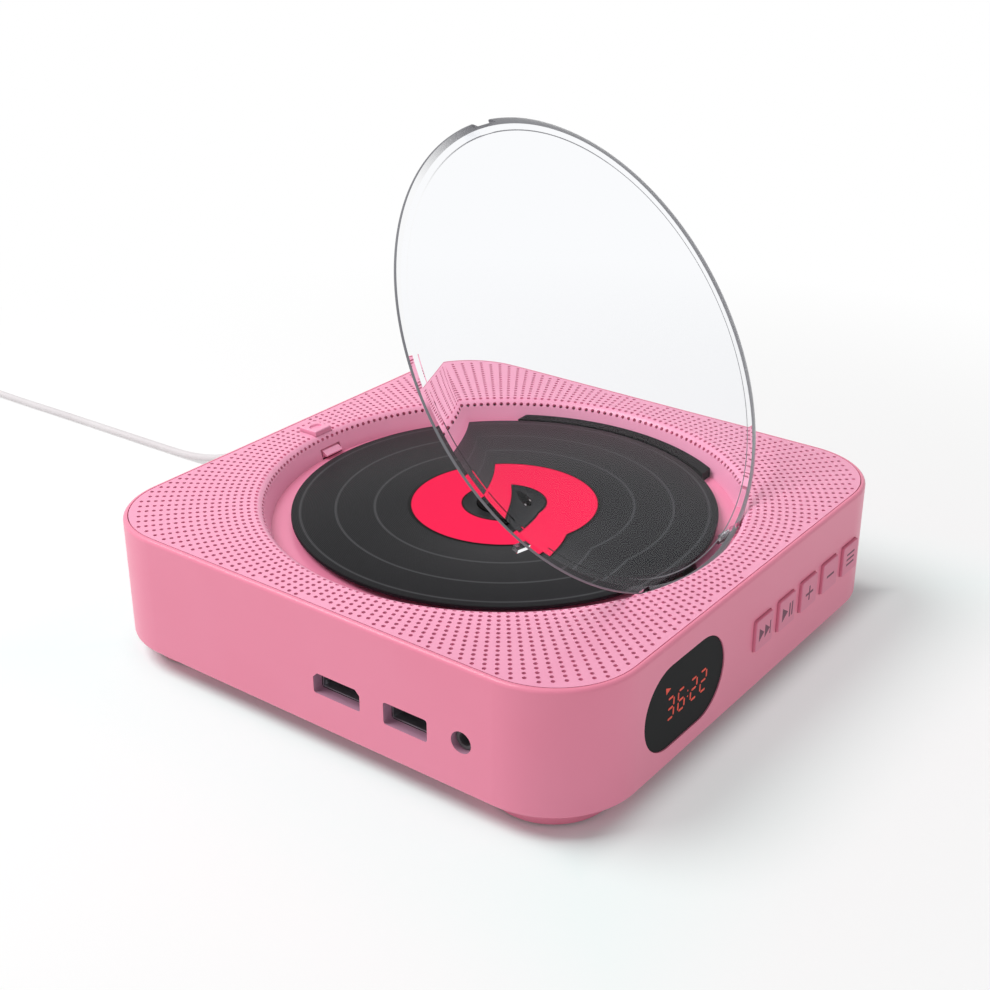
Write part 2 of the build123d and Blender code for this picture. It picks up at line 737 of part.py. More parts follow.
with BuildPart() as disc_label:
    with BuildSketch(Plane.XY.offset(DISC_TOP_Z)):
        Circle(26.5)
        Circle(11.5, mode=Mode.SUBTRACT)
    extrude(amount=0.08)
save(disc_label, "disc_label")


# Guide rods of the sled
with BuildPart() as guide_rods:
    for y in both(ROD_Y):
        with Locations(Location((36.5, y, ROD_Z), (0, 90, 0))):
            Cylinder(ROD_R, 48.0)
save(guide_rods, "guide_rods")


# Sled with its lens, and the arm whose tongue rides in the lead screw
with BuildPart() as pickup_sled:
    with Locations((LENS_X, 0, 26.4)):
        Box(22.0, 24.0, 4.4, align=(Align.CENTER, Align.CENTER, Align.MIN))
    for y in both(ROD_Y):
        with Locations((LENS_X - 3.6, y - math.copysign(2.2, y), 26.0)):
            Box(9.2, 8.4, 3.4, align=(Align.CENTER, Align.CENTER, Align.MIN))
    for y in both(ROD_Y):
        with Locations(Location((LENS_X, y, ROD_Z), (0, 90, 0))):
            Cylinder(ROD_R + 0.06, 30.0, mode=Mode.SUBTRACT)
    with Locations((LENS_X, 0, 29.0)):
        Cylinder(4.6, 6.0, align=(Align.CENTER, Align.CENTER, Align.MIN), mode=Mode.SUBTRACT)
    with Locations((TONGUE_X, -17.5, 29.5)):
        Box(2.4, 14.0, 1.3, align=(Align.CENTER, Align.CENTER, Align.MIN))
    with Locations((TONGUE_X, SCREW_Y, 29.05)):
        Box(0.8, 1.2, 0.6, align=(Align.CENTER, Align.CENTER, Align.MIN))
save(pickup_sled, "pickup_sled")

with BuildPart() as pickup_lens:
    with Locations((LENS_X, 0, 29.0)):
        Cylinder(4.3, 2.6, align=(Align.CENTER, Align.CENTER, Align.MIN))
    with Locations((LENS_X, 0, 31.6)):
        Cylinder(2.4, 0.6, align=(Align.CENTER, Align.CENTER, Align.MIN))
    fillet(pickup_lens.edges().group_by(Axis.Z)[-1], radius=0.4)
save(pickup_lens, "pickup_lens")

# Lead screw turned by the sled motor: a core with one thread round it
with BuildPart() as lead_screw:
    with Locations(Location((32.6, SCREW_Y, ROD_Z), (0, 90, 0))):
        Cylinder(1.2, 37.4)
    with Locations(Location((32.6, SCREW_Y, ROD_Z), (0, 90, 0))):
        Cylinder(0.8, 41.0)
    with BuildLine() as thread_path:
        Helix(
            pitch=SCREW_PITCH,
            height=(SCREW_TURNS - 0.5) * SCREW_PITCH,
            radius=1.2,
            center=(SCREW_START_X, SCREW_Y, ROD_Z),
            direction=(1, 0, 0),
        )
    with BuildSketch(Plane(origin=thread_path.line @ 0, z_dir=thread_path.line % 0)):
        Circle(0.45)
    sweep(path=thread_path.line, is_frenet=True)
save(lead_screw, "lead_screw")

with BuildPart() as sled_motor:
    with Locations(Location((6.2, SCREW_Y, ROD_Z), (0, 90, 0))):
        Cylinder(5.0, 11.8)
    fillet(sled_motor.edges().group_by(Axis.X)[0], radius=0.6)
save(sled_motor, "sled_motor")


# Small box set on a plane, used for the parts on the boards
def block(x, y, z, dx, dy, dz):
    with Locations((x, y, z)):
        Box(dx, dy, dz, align=(Align.CENTER, Align.CENTER, Align.MIN))


def post(x, y, z, radius, height):
    with Locations((x, y, z)):
        Cylinder(radius, height, align=(Align.CENTER, Align.CENTER, Align.MIN))


# Lid switch under the latch shelf, with its plunger through the shelf
with BuildPart() as lid_switch:
    block(-70.5, 0, 29.4, 9.0, 6.0, 3.8)
    post(-67.4, 0, 33.2, 0.7, 1.4)
save(lid_switch, "lid_switch")


# Main board, standing on four pillars over the bottom cover
with BuildPart() as main_board:
    with BuildSketch(Plane.XY.offset(BOARD_Z)):
        with Locations((1.0, -54.0)):
            RectangleRounded(106.0, 48.0, 1.5)
        with Locations(*[(x, -TUB_POST_AT) for x in both(TUB_POST_AT)]):
            Circle(4.2, mode=Mode.SUBTRACT)
        with Locations(*BOARD_SCREWS):
            Circle(1.3, mode=Mode.SUBTRACT)
    extrude(amount=BOARD_TOP_Z - BOARD_Z)
save(main_board, "main_board")

with BuildPart() as board_screws:
    for x, y in BOARD_SCREWS:
        post(x, y, BOARD_TOP_Z, 2.3, 1.4)
        post(x, y, BOARD_TOP_Z - 5.0, 0.9, 5.2)
save(board_screws, "board_screws")

with BuildPart() as main_chips:
    block(0, -50.0, BOARD_TOP_Z, 16.0, 16.0, 1.6)
    block(-22.0, -52.0, BOARD_TOP_Z, 9.0, 12.0, 1.2)
    block(24.0, -44.0, BOARD_TOP_Z, 10.0, 7.0, 1.5)
    block(-34.0, -66.0, BOARD_TOP_Z, 12.0, 8.0, 2.2)
save(main_chips, "main_chips")

with BuildPart() as board_capacitors:
    for x, y in ((-34.0, -38.0), (-26.0, -38.0), (-14.0, -70.0), (36.0, -38.0)):
        post(x, y, BOARD_TOP_Z, 2.5, 7.0)
    for x in (-60.0, -51.5):
        with Locations(Location((x, 24.1, 14.0), (90, 0, 0))):
            Cylinder(3.4, 9.0)
save(board_capacitors, "board_capacitors")


# HDMI socket: bent metal shell open to -Y, with its tongue
SOCKET_FACE_Y = -78.55
with BuildPart() as hdmi_socket:
    with BuildSketch(Plane.XZ.offset(-SOCKET_FACE_Y)):
        with Locations((HDMI_X, 19.5)):
            Rectangle(15.0, 5.6)
            Rectangle(14.4, 5.0, mode=Mode.SUBTRACT)
        for side in (-1, 1):
            with BuildLine():
                corner_x = HDMI_X + side * 7.5
                Polyline((corner_x, 22.3), (corner_x, 20.9), (corner_x - side * 1.4, 22.3), close=True)
            make_face()
    extrude(amount=-11.5)
    with Locations((HDMI_X, SOCKET_FACE_Y + 11.5, 16.7)):
        Box(15.0, 0.6, 5.6, align=(Align.CENTER, Align.MIN, Align.MIN))
    with Locations((HDMI_X, SOCKET_FACE_Y + 2.0, 19.6)):
        Box(11.2, 10.0, 1.1, align=(Align.CENTER, Align.MIN, Align.MIN))
    for x in both(7.2):
        for y in (-76.8, -70.5):
            block(HDMI_X + x, y, BOARD_TOP_Z, 0.6, 1.6, 2.0)
save(hdmi_socket, "hdmi_socket")

# USB-A socket: metal shell open to -Y, with its tongue near the top
with BuildPart() as usb_socket:
    with BuildSketch(Plane.XZ.offset(-SOCKET_FACE_Y)):
        with Locations((USB_X, 19.35)):
            Rectangle(13.3, 5.9)
            Rectangle(12.6, 5.2, mode=Mode.SUBTRACT)
    extrude(amount=-13.0)
    with Locations((USB_X, SOCKET_FACE_Y + 13.0, 16.4)):
        Box(13.3, 0.6, 5.9, align=(Align.CENTER, Align.MIN, Align.MIN))
    with Locations((USB_X, SOCKET_FACE_Y + 1.2, 19.5)):
        Box(11.1, 12.0, 1.8, align=(Align.CENTER, Align.MIN, Align.MIN))
    for x in both(6.4):
        for y in (-76.8, -69.5):
            block(USB_X + x, y, BOARD_TOP_Z, 0.5, 1.6, 1.0)
save(usb_socket, "usb_socket")

# 3.5 mm jack socket
JACK_BORE_R = 1.8
with BuildPart() as av_jack:
    with Locations((JACK_X, -72.4, 20.4)):
        Box(9.6, 12.0, 8.8)
    with Locations(Location((JACK_X, -78.5, JACK_Z), (90, 0, 0))):
        Cylinder(2.7, 3.0)
    with Locations(Location((JACK_X, -75.0, JACK_Z), (90, 0, 0))):
        Cylinder(JACK_BORE_R, 12.0, mode=Mode.SUBTRACT)
save(av_jack, "av_jack")


# Power board on edge beside the power jack
with BuildPart() as power_board:
    with Locations((-62.5, 29.3, COVER_TOP_Z)):
        Box(31.0, 1.4, 15.0, align=(Align.CENTER, Align.CENTER, Align.MIN))
save(power_board, "power_board")

DC_BORE_R = 2.95
with BuildPart() as dc_jack:
    with Locations((-72.3, DC_Y, DC_Z)):
        Box(13.6, 9.8, 8.4)
    with Locations(Location((-79.6, DC_Y, DC_Z), (0, 90, 0))):
        Cylinder(3.7, 3.0)
    with Locations(Location((-75.0, DC_Y, DC_Z), (0, 90, 0))):
        Cylinder(DC_BORE_R, 12.4, mode=Mode.SUBTRACT)
    with Locations(Location((-74.0, DC_Y, DC_Z), (0, 90, 0))):
        Cylinder(1.0, 10.8)
save(dc_jack, "dc_jack")


# Display board on edge behind the +X wall, and what it carries
with BuildPart() as display_board:
    with BuildSketch(Plane.YZ.offset(70.0)):
        with Locations((3.0, 22.5)):
            RectangleRounded(118.0, 22.0, 1.0)
    extrude(amount=1.4)
save(display_board, "display_board")

with BuildPart() as display_module:
    with Locations((74.45, -38.3, 23.2)):
        Box(6.1, 30.0, 20.0)
save(display_module, "display_module")

with BuildPart() as ir_receiver:
    with Locations((73.4, -20.2, 23.2)):
        Box(4.0, 4.4, 6.0)
    with Locations((75.4, -20.2, 23.8)):
        Sphere(1.6)
    with Locations((71.0, -20.2, 23.2)):
        Box(0.8, 4.4, 6.0, mode=Mode.SUBTRACT)
save(ir_receiver, "ir_receiver")

with BuildPart() as display_window:
    with BuildSketch(Plane.YZ.offset(79.3)):
        with Locations((WINDOW_Y, WINDOW_Z)):
            SlotOverall(WINDOW_LENGTH - 0.3, WINDOW_HEIGHT - 0.3)
    extrude(amount=2.2)
    with BuildSketch(Plane.YZ.offset(77.9)):
        with Locations((WINDOW_Y, WINDOW_Z)):
            SlotOverall(WINDOW_LENGTH + 3.6, WINDOW_HEIGHT + 3.6)
    extrude(amount=1.4)
save(display_window, "display_window")

with BuildPart() as key_switches:
    for y in KEY_YS:
        with Locations((72.6, y, KEY_Z)):
            Box(2.4, 6.0, 6.0)
        with Locations(Location((73.85, y, KEY_Z), (0, 90, 0))):
            Cylinder(1.6, 0.5)
save(key_switches, "key_switches")


# Keys: a cap with rounded edges, a flange behind the wall and a stem to the switch
KEY_NAMES = ("key_skip", "key_play", "key_plus", "key_minus", "key_function")
for key_name, key_y in zip(KEY_NAMES, KEY_YS):
    with BuildPart() as key_part:
        with BuildSketch(Plane.YZ.offset(79.0)):
            with Locations((key_y, KEY_Z)):
                RectangleRounded(KEY_SIZE, KEY_SIZE, 0.7)
        extrude(amount=3.7)
        fillet(key_part.faces().sort_by(Axis.X)[-1].edges(), radius=0.35)
        with Locations((78.6, key_y, KEY_Z)):
            Box(1.0, 11.2, 11.2)
        with Locations(Location((76.5, key_y, KEY_Z), (0, 90, 0))):
            Cylinder(1.5, 3.6)
    save(key_part, key_name)


# Two speakers under the perforated top
with BuildPart() as speaker_frames:
    for sy in (-1, 1):
        with BuildPart(mode=Mode.PRIVATE) as frame_part:
            with BuildSketch(Plane.XZ):
                with BuildLine():
                    Polyline(
                        (15.0, 39.3),
                        (13.4, 39.3),
                        (13.4, 37.9),
                        (9.8, 32.6),
                        (9.8, 31.6),
                        (10.8, 31.6),
                        (15.0, 37.5),
                        close=True,
                    )
                make_face()
            revolve(axis=Axis.Z)
        add(frame_part.part.moved(Location((-SPEAKER_AT, sy * SPEAKER_AT, 0))))
save(speaker_frames, "speaker_frames")

with BuildPart() as speaker_cones:
    for sy in (-1, 1):
        with BuildPart(mode=Mode.PRIVATE) as cone_part:
            with BuildSketch(Plane.XZ):
                with BuildLine():
                    Polyline(
                        (13.3, 38.6),
                        (12.2, 39.0),
                        (11.2, 38.4),
                        (5.0, 33.6),
                        (0, 35.0),
                        (0, 34.5),
                        (5.0, 33.1),
                        (11.4, 37.9),
                        (12.3, 38.5),
                        (13.3, 38.2),
                        close=True,
                    )
                make_face()
            revolve(axis=Axis.Z)
        add(cone_part.part.moved(Location((-SPEAKER_AT, sy * SPEAKER_AT, 0))))
save(speaker_cones, "speaker_cones")

with BuildPart() as speaker_magnets:
    for sy in (-1, 1):
        post(-SPEAKER_AT, sy * SPEAKER_AT, 26.6, 10.5, 5.0)
        post(-SPEAKER_AT, sy * SPEAKER_AT, 31.6, 4.2, 1.3)
save(speaker_magnets, "speaker_magnets")


# Ribbon cable from the display board down to the main board
with BuildPart() as ribbon_cable:
    with BuildSketch(Plane.XZ.offset(30.0)):
        with BuildLine() as ribbon_line:
            FilletPolyline((69.7, 20.0), (56.0, 20.0), (46.0, 16.3), (41.0, 16.3), radius=2.0)
            offset(amount=0.2, side=Side.BOTH)
        make_face()
    extrude(amount=8.0)
save(ribbon_cable, "ribbon_cable")


# Power plug in the jack: barrel, grip and bend relief
PLUG_END_X = -98.0
RELIEF_END_X = -112.0
with BuildPart() as dc_plug:
    with BuildSketch(Plane.XZ.offset(-DC_Y)):
        with BuildLine():
            Polyline(
                (-71.0, DC_Z + 1.15),
                (-71.0, DC_Z + 2.75),
                (-82.4, DC_Z + 2.75),
                (-82.4, DC_Z + 3.6),
                (-83.2, DC_Z + 4.0),
                (-96.0, DC_Z + 4.0),
                (PLUG_END_X, DC_Z + 3.2),
                (RELIEF_END_X, DC_Z + 2.0),
                (RELIEF_END_X, DC_Z + CORD_R + 0.03),
                (PLUG_END_X, DC_Z + CORD_R + 0.03),
                (PLUG_END_X, DC_Z),
                (-82.0, DC_Z),
                (-82.0, DC_Z + 1.15),
                close=True,
            )
        make_face()
    revolve(axis=Axis((0, DC_Y, DC_Z), (1, 0, 0)))
save(dc_plug, "dc_plug")


# Power cord: down from the plug and over the floor to the coil
CORD_POINTS = (
    (-98.0, 23.6, 13.0),
    (-124.0, 23.6, 13.0),
    (-148.0, 23.5, 1.3),
    (-184.0, 22.4, 1.3),
    (-221.0, 21.5, 1.3),
    (-259.0, 20.0, 1.3),
    (-296.0, 20.0, 2.1),
)


def bend_radii(points):
    radii = []
    for before, corner, after in zip(points, points[1:], points[2:]):
        into = Vector(*corner) - Vector(*before)
        out = Vector(*after) - Vector(*corner)
        turn = math.radians(into.get_angle(out))
        radii.append(0.45 * min(into.length, out.length) / math.tan(turn / 2))
    return radii


cord_radii = bend_radii(CORD_POINTS)
print("cord bend radii", [round(radius, 1) for radius in cord_radii])
with BuildPart() as power_cord:
    with BuildLine() as cord_line:
        FilletPolyline(*CORD_POINTS, radius=cord_radii)
    with BuildSketch(Plane(origin=CORD_POINTS[0], z_dir=(-1, 0, 0))):
        Circle(CORD_R)
    sweep(path=cord_line.line)
cord_length = cord_line.wires()[0].length
print("cord volume", power_cord.part.volume, math.pi * CORD_R**2 * cord_length, "length", cord_length)
save(power_cord, "power_cord")


# The rest of the cord, coiled beside the plug on its far end
COIL_X = -296.0
COIL_Y = 20.0 - 20.25
COIL_OUTER_R = 20.25
COIL_INNER_R = 10.95
COIL_LAST_R = 21.3
COIL_LAYER = 3.1
COIL_EXIT_R = COIL_OUTER_R + COIL_LAYER
COIL_Z = 2.1
FAR_PLUG_Z = 3.75
FAR_PLUG_X = -277.0
FAR_PLUG_Y = COIL_Y - COIL_EXIT_R
FAR_PLUG_FACE_X = FAR_PLUG_X + 6.0


def coil_state(turns):
    # Radius and height after this many turns: in, out, in, out, then off the stack
    layer = min(int(turns // 3), 4)
    part_turn = turns - 3 * layer
    if layer == 4:
        radius = COIL_LAST_R + (COIL_EXIT_R - COIL_LAST_R) * min(part_turn / 0.25, 1.0)
        height = COIL_Z + 3 * COIL_LAYER * (1 - max(part_turn - 0.25, 0) / 0.25)
        return radius, height
    wind = 3.0 if layer == 3 else 2.5
    share = min(part_turn / wind, 1.0)
    climb = max(part_turn - wind, 0) / 0.5 if wind < 3 else 0
    inward = layer % 2 == 0
    start_r = COIL_OUTER_R if inward else COIL_INNER_R
    end_r = COIL_INNER_R if inward else COIL_OUTER_R
    if layer == 3:
        end_r = COIL_LAST_R
    return start_r + (end_r - start_r) * share, COIL_Z + COIL_LAYER * (layer + climb)


def coil_point(turns):
    radius, height = coil_state(turns)
    angle = math.radians(90 + 360 * turns)
    return Vector(COIL_X + radius * math.cos(angle), COIL_Y + radius * math.sin(angle), height)


def coil_tangent(turns):
    step = 0.02
    low = max(turns - step, 0)
    high = min(turns + step, 12.5)
    return (coil_point(high) - coil_point(low)).normalized()


def biarc(start, start_dir, end, end_dir):
    # Two arcs that leave start and reach end along the given directions
    span = end - start
    total = start_dir + end_dir
    a = 2 * (start_dir.dot(end_dir) - 1)
    b = -2 * span.dot(total)
    c = span.dot(span)
    if abs(a) < 1e-9:
        reach = -c / b
    else:
        reach = (-b - math.sqrt(b * b - 4 * a * c)) / (2 * a)
        if reach <= 0:
            reach = (-b + math.sqrt(b * b - 4 * a * c)) / (2 * a)
    joint = (start + start_dir * reach + end - end_dir * reach) * 0.5
    corner = end - end_dir * reach
    TangentArc(start, joint, tangent=start_dir)
    TangentArc(joint, end, tangent=corner - joint)


coil_quarters = [quarter / 4 for quarter in range(51)]
with BuildPart() as power_cord_coil:
    with BuildLine() as coil_line:
        into_coil = (Vector(*CORD_POINTS[-1]) - Vector(*CORD_POINTS[-2])).normalized()
        lead_in = Vector(*CORD_POINTS[-1])
        coil_start = lead_in + into_coil * CORD_D
        Line(lead_in, coil_start)
        start, start_dir = coil_start, into_coil
        for turns in coil_quarters[1:]:
            end, end_dir = coil_point(turns), coil_tangent(turns)
            if turns == 12.5:
                end_dir = Vector(1, 0, 0)
            biarc(start, start_dir, end, end_dir)
            start, start_dir = end, end_dir
        plug_line = Vector(FAR_PLUG_X, FAR_PLUG_Y, FAR_PLUG_Z)
        biarc(start, start_dir, plug_line, Vector(1, 0, 0))
        Line(plug_line, plug_line + Vector(FAR_PLUG_FACE_X - FAR_PLUG_X, 0, 0))
    with BuildSketch(Plane(origin=lead_in, z_dir=into_coil)):
        Circle(CORD_R)
    sweep(path=coil_line.line)
coil_wire = coil_line.wires()[0]
coil_length = coil_wire.length
print("coil volume", power_cord_coil.part.volume, math.pi * CORD_R**2 * coil_length, "length", coil_length)
print("whole cord length", cord_length + coil_length)
save(power_cord_coil, "power_cord_coil")

samples = [coil_wire.position_at(share / 900) for share in range(901)]
spacing = coil_length / 900
apart = int(3 * CORD_D / spacing)
least = min(
    (samples[i] - samples[j]).length
    for i in range(0, 901, 1)
    for j in range(i + apart, 901, 1)
)
print("least gap in the coil", least - CORD_D)


# Tie round the coil
with BuildPart() as cord_tie:
    tie_x = COIL_X + (COIL_OUTER_R + COIL_INNER_R) / 2
    tie_half = (COIL_OUTER_R - COIL_INNER_R) / 2 + CORD_R + 0.4
    tie_top = COIL_Z + 3 * COIL_LAYER + CORD_R + 0.4
    with BuildSketch(Plane.XZ.offset(-COIL_Y - 2.5)):
        with Locations((tie_x, (tie_top + 0.65) / 2)):
            RectangleRounded(2 * tie_half + 1.2, tie_top - 0.65 + 1.2, 1.6)
            RectangleRounded(2 * tie_half, tie_top - 0.65, 1.0, mode=Mode.SUBTRACT)
    extrude(amount=5.0)
save(cord_tie, "cord_tie")


# Plug on the far end: moulded body and metal shell
with BuildPart() as far_plug:
    with BuildSketch(Plane.YZ.offset(FAR_PLUG_FACE_X)):
        with Locations((FAR_PLUG_Y, FAR_PLUG_Z)):
            RectangleRounded(14.0, 7.4, 1.6)
    extrude(amount=18.0)
    with BuildSketch(Plane.YZ.offset(FAR_PLUG_FACE_X)):
        with Locations((FAR_PLUG_Y, FAR_PLUG_Z)):
            Circle(3.0)
    with BuildSketch(Plane.YZ.offset(FAR_PLUG_X)):
        with Locations((FAR_PLUG_Y, FAR_PLUG_Z)):
            Circle(1.9)
    loft()
    with Locations(Location((FAR_PLUG_X + 3.0, FAR_PLUG_Y, FAR_PLUG_Z), (0, 90, 0))):
        Cylinder(CORD_R + 0.03, 6.0, mode=Mode.SUBTRACT)
save(far_plug, "far_plug")

with BuildPart() as far_plug_shell:
    with BuildSketch(Plane.YZ.offset(FAR_PLUG_FACE_X + 18.0)):
        with Locations((FAR_PLUG_Y, FAR_PLUG_Z)):
            Rectangle(12.0, 4.5)
            Rectangle(11.4, 3.9, mode=Mode.SUBTRACT)
    extrude(amount=11.8)
    with Locations((FAR_PLUG_FACE_X + 18.0, FAR_PLUG_Y, FAR_PLUG_Z - 1.95)):
        Box(11.0, 11.4, 1.8, align=(Align.MIN, Align.CENTER, Align.MIN))
save(far_plug_shell, "far_plug_shell")
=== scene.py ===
import math

import bmesh
import bpy
from mathutils import Matrix, Vector
from mathutils.geometry import delaunay_2d_cdt


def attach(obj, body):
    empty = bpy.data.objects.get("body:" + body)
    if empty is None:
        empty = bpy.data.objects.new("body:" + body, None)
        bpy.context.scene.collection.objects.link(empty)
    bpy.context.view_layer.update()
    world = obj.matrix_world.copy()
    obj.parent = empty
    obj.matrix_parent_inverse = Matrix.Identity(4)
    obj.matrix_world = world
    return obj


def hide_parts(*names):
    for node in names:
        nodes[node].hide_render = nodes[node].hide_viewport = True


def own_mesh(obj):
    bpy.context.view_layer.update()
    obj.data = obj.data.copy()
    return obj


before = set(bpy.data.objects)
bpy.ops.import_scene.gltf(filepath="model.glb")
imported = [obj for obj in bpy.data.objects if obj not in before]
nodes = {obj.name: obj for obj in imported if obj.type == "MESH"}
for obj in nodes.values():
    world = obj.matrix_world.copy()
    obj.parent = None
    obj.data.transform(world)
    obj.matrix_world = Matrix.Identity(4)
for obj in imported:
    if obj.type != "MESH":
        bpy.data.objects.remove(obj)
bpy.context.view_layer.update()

MM = 0.001

# Camera, from a pinhole fit to the photograph. Sizes in mm, angles in degrees.
AZIMUTH = 36.507
ELEVATION = 25.53
ROLL = 0.175
DISTANCE = 452.694
AIM = (0.0, 0.0, 17.5)
SLIDE_RIGHT = -0.017
SLIDE_UP = 20.112
FOCAL_PX = 1560.265
FRAME_PX = 990
CENTRE_PX = (503.119, 495.253)
SENSOR = 36.0

az, el, roll = (math.radians(v) for v in (AZIMUTH, ELEVATION, ROLL))
back = Vector((math.sin(az) * math.cos(el), -math.cos(az) * math.cos(el), math.sin(el)))
right = Vector((math.cos(az), math.sin(az), 0))
up = back.cross(right)
cam_right = right * math.cos(roll) + up * math.sin(roll)
cam_up = up * math.cos(roll) - right * math.sin(roll)
cam_place = Vector(AIM) + back * DISTANCE + cam_right * SLIDE_RIGHT + cam_up * SLIDE_UP

cam_data = bpy.data.cameras.new("photo_camera")
cam_data.sensor_width = SENSOR
cam_data.lens = SENSOR * FOCAL_PX / FRAME_PX
cam_data.shift_x = (FRAME_PX / 2 - CENTRE_PX[0]) / FRAME_PX
cam_data.shift_y = (CENTRE_PX[1] - FRAME_PX / 2) / FRAME_PX
cam_data.clip_start = 0.01
cam_data.clip_end = 50
cam = bpy.data.objects.new("photo_camera", cam_data)
bpy.context.scene.collection.objects.link(cam)
turn = Matrix((cam_right, cam_up, back)).transposed().to_4x4()
cam.matrix_world = Matrix.Translation(cam_place * MM) @ turn
bpy.context.scene.camera = cam
bpy.context.scene.view_settings.view_transform = "Standard"


# Shader helpers
def new_material(name):
    mat = bpy.data.materials.new(name)
    mat.use_nodes = True
    tree = mat.node_tree
    return mat, tree, tree.nodes["Principled BSDF"]


def linear(hex_color):
    values = [int(hex_color[i : i + 2], 16) / 255 for i in (1, 3, 5)]
    out = [v / 12.92 if v <= 0.04045 else ((v + 0.055) / 1.055) ** 2.4 for v in values]
    return (*out, 1.0)


def set_inputs(node, **sockets):
    # Each socket's name is written with _ for its spaces
    for key, value in sockets.items():
        node.inputs[key.replace("_", " ")].default_value = value


def add_node(tree, kind, **sockets):
    node = tree.nodes.new(kind)
    set_inputs(node, **sockets)
    return node


def add_math(tree, operation, *values):
    # Each value is a number or the output of another node
    node = tree.nodes.new("ShaderNodeMath")
    node.operation = operation
    for value, socket in zip(values, node.inputs):
        if isinstance(value, (int, float)):
            socket.default_value = value
        else:
            tree.links.new(value, socket)
    return node.outputs["Value"]


def mix_colors(tree, share, first, second):
    # Share 0 gives the first, share 1 the second. Each is a colour or the output of another node.
    node = tree.nodes.new("ShaderNodeMix")
    node.data_type = "RGBA"
    tree.links.new(share, node.inputs["Factor"])
    for value, key in ((first, "A"), (second, "B")):
        if isinstance(value, tuple):
            node.inputs[key].default_value = value
        else:
            tree.links.new(value, node.inputs[key])
    return node.outputs["Result"]


def mix_shaders(tree, share, first, second):
    # Share 0 gives the first, share 1 the second
    node = tree.nodes.new("ShaderNodeMixShader")
    for value, socket in zip((share, first, second), node.inputs):
        tree.links.new(value, socket)
    return node.outputs["Shader"]


def show_shader(tree, shader):
    tree.links.new(shader, tree.nodes["Material Output"].inputs["Surface"])


def smooth_range(tree, value, start, end, low, high):
    # Goes from low to high while the value goes from start to end
    node = tree.nodes.new("ShaderNodeMapRange")
    node.interpolation_type = "SMOOTHSTEP"
    set_inputs(node, From_Min=start, From_Max=end, To_Min=low, To_Max=high)
    tree.links.new(value, node.inputs["Value"])
    return node.outputs["Result"]


def object_axes(tree):
    # Object coordinates in metres, as outputs named X, Y and Z
    coords = tree.nodes.new("ShaderNodeTexCoord")
    split = tree.nodes.new("ShaderNodeSeparateXYZ")
    tree.links.new(coords.outputs["Object"], split.inputs["Vector"])
    return split.outputs


def surface_grain(tree, bsdf, scale, strength, distance, detail=3.0):
    # Fine moulded grain: noise in object space through a bump
    coords = tree.nodes.new("ShaderNodeTexCoord")
    noise = add_node(tree, "ShaderNodeTexNoise", Scale=scale, Detail=detail)
    bump = add_node(tree, "ShaderNodeBump", Strength=strength, Distance=distance)
    tree.links.new(coords.outputs["Object"], noise.inputs["Vector"])
    tree.links.new(noise.outputs["Fac"], bump.inputs["Height"])
    tree.links.new(bump.outputs["Normal"], bsdf.inputs["Normal"])


def tint(tree, target, color_a, color_b, scale, positions=(0.3, 0.7)):
    # Slow drift between two close colours
    coords = tree.nodes.new("ShaderNodeTexCoord")
    noise = add_node(tree, "ShaderNodeTexNoise", Scale=scale, Detail=2.0)
    ramp = tree.nodes.new("ShaderNodeValToRGB")
    for element, position, color in zip(ramp.color_ramp.elements, positions, (color_a, color_b)):
        element.position = position
        element.color = linear(color)
    tree.links.new(coords.outputs["Object"], noise.inputs["Vector"])
    tree.links.new(noise.outputs["Fac"], ramp.inputs["Fac"])
    tree.links.new(ramp.outputs["Color"], target)


PLASTIC_DRIFT = 30.0
METAL_DRIFT = 120.0
METAL_GRAIN = 2500.0


def plastic(name, color_a, color_b, rough, grain=900.0, strength=0.06, coat=0.0, specular=0.35):
    mat, tree, bsdf = new_material(name)
    surface_grain(tree, bsdf, grain, strength, 0.00005)
    tint(tree, bsdf.inputs["Base Color"], color_a, color_b, PLASTIC_DRIFT)
    set_inputs(bsdf, Roughness=rough, Specular_IOR_Level=specular, Coat_Weight=coat, Coat_Roughness=0.12)
    return mat


def metal(name, color_a, color_b, rough, anisotropy=0.0):
    mat, tree, bsdf = new_material(name)
    surface_grain(tree, bsdf, METAL_GRAIN, 0.05, 0.00002)
    tint(tree, bsdf.inputs["Base Color"], color_a, color_b, METAL_DRIFT)
    set_inputs(bsdf, Metallic=1.0, Roughness=rough, Anisotropic=anisotropy)
    return mat


# Materials
body_pink = plastic("body_pink", "#EF88A4", "#F18CA8", 0.42, coat=0.15)
panel_pink = plastic("panel_pink", "#F39FBE", "#F5A3C1", 0.40, coat=0.15)
tub_pink = plastic("tub_pink", "#E884A4", "#EA88A8", 0.38, coat=0.15)
key_pink = plastic("key_pink", "#E284A0", "#E488A3", 0.45)
# The icons' dark colour is painted shade of their relief on the keys
icon_relief_shade = plastic("icon_relief_shade", "#6E3A50", "#743E55", 0.5)
pad_black = plastic("pad_black", "#1E1E1F", "#242425", 0.6, grain=1500.0, strength=0.2, specular=0.05)
black_matt = plastic("black_matt", "#0C0C0D", "#141415", 0.5, grain=1500.0, strength=0.2)
black_gloss = plastic("black_gloss", "#1B1B1C", "#1E1E1F", 0.12, strength=0.01, coat=0.4)
jack_grey = plastic("jack_grey", "#5A5A5C", "#626264", 0.45, strength=0.05)
window_black = plastic("window_black", "#202122", "#222324", 0.6, strength=0.01, specular=0.08)
foot_rubber = plastic("foot_rubber", "#6E5A60", "#75626A", 0.8, grain=2500.0, strength=0.4)
# The cord is white; its tone is painted down to a pinkish grey as shade against the white floor
cord_white = plastic("cord_white", "#D6D1D3", "#DDD9DA", 0.45, grain=1200.0, strength=0.12)
plug_white = plastic("plug_white", "#EDEDED", "#F3F3F3", 0.4, grain=700.0, strength=0.05)
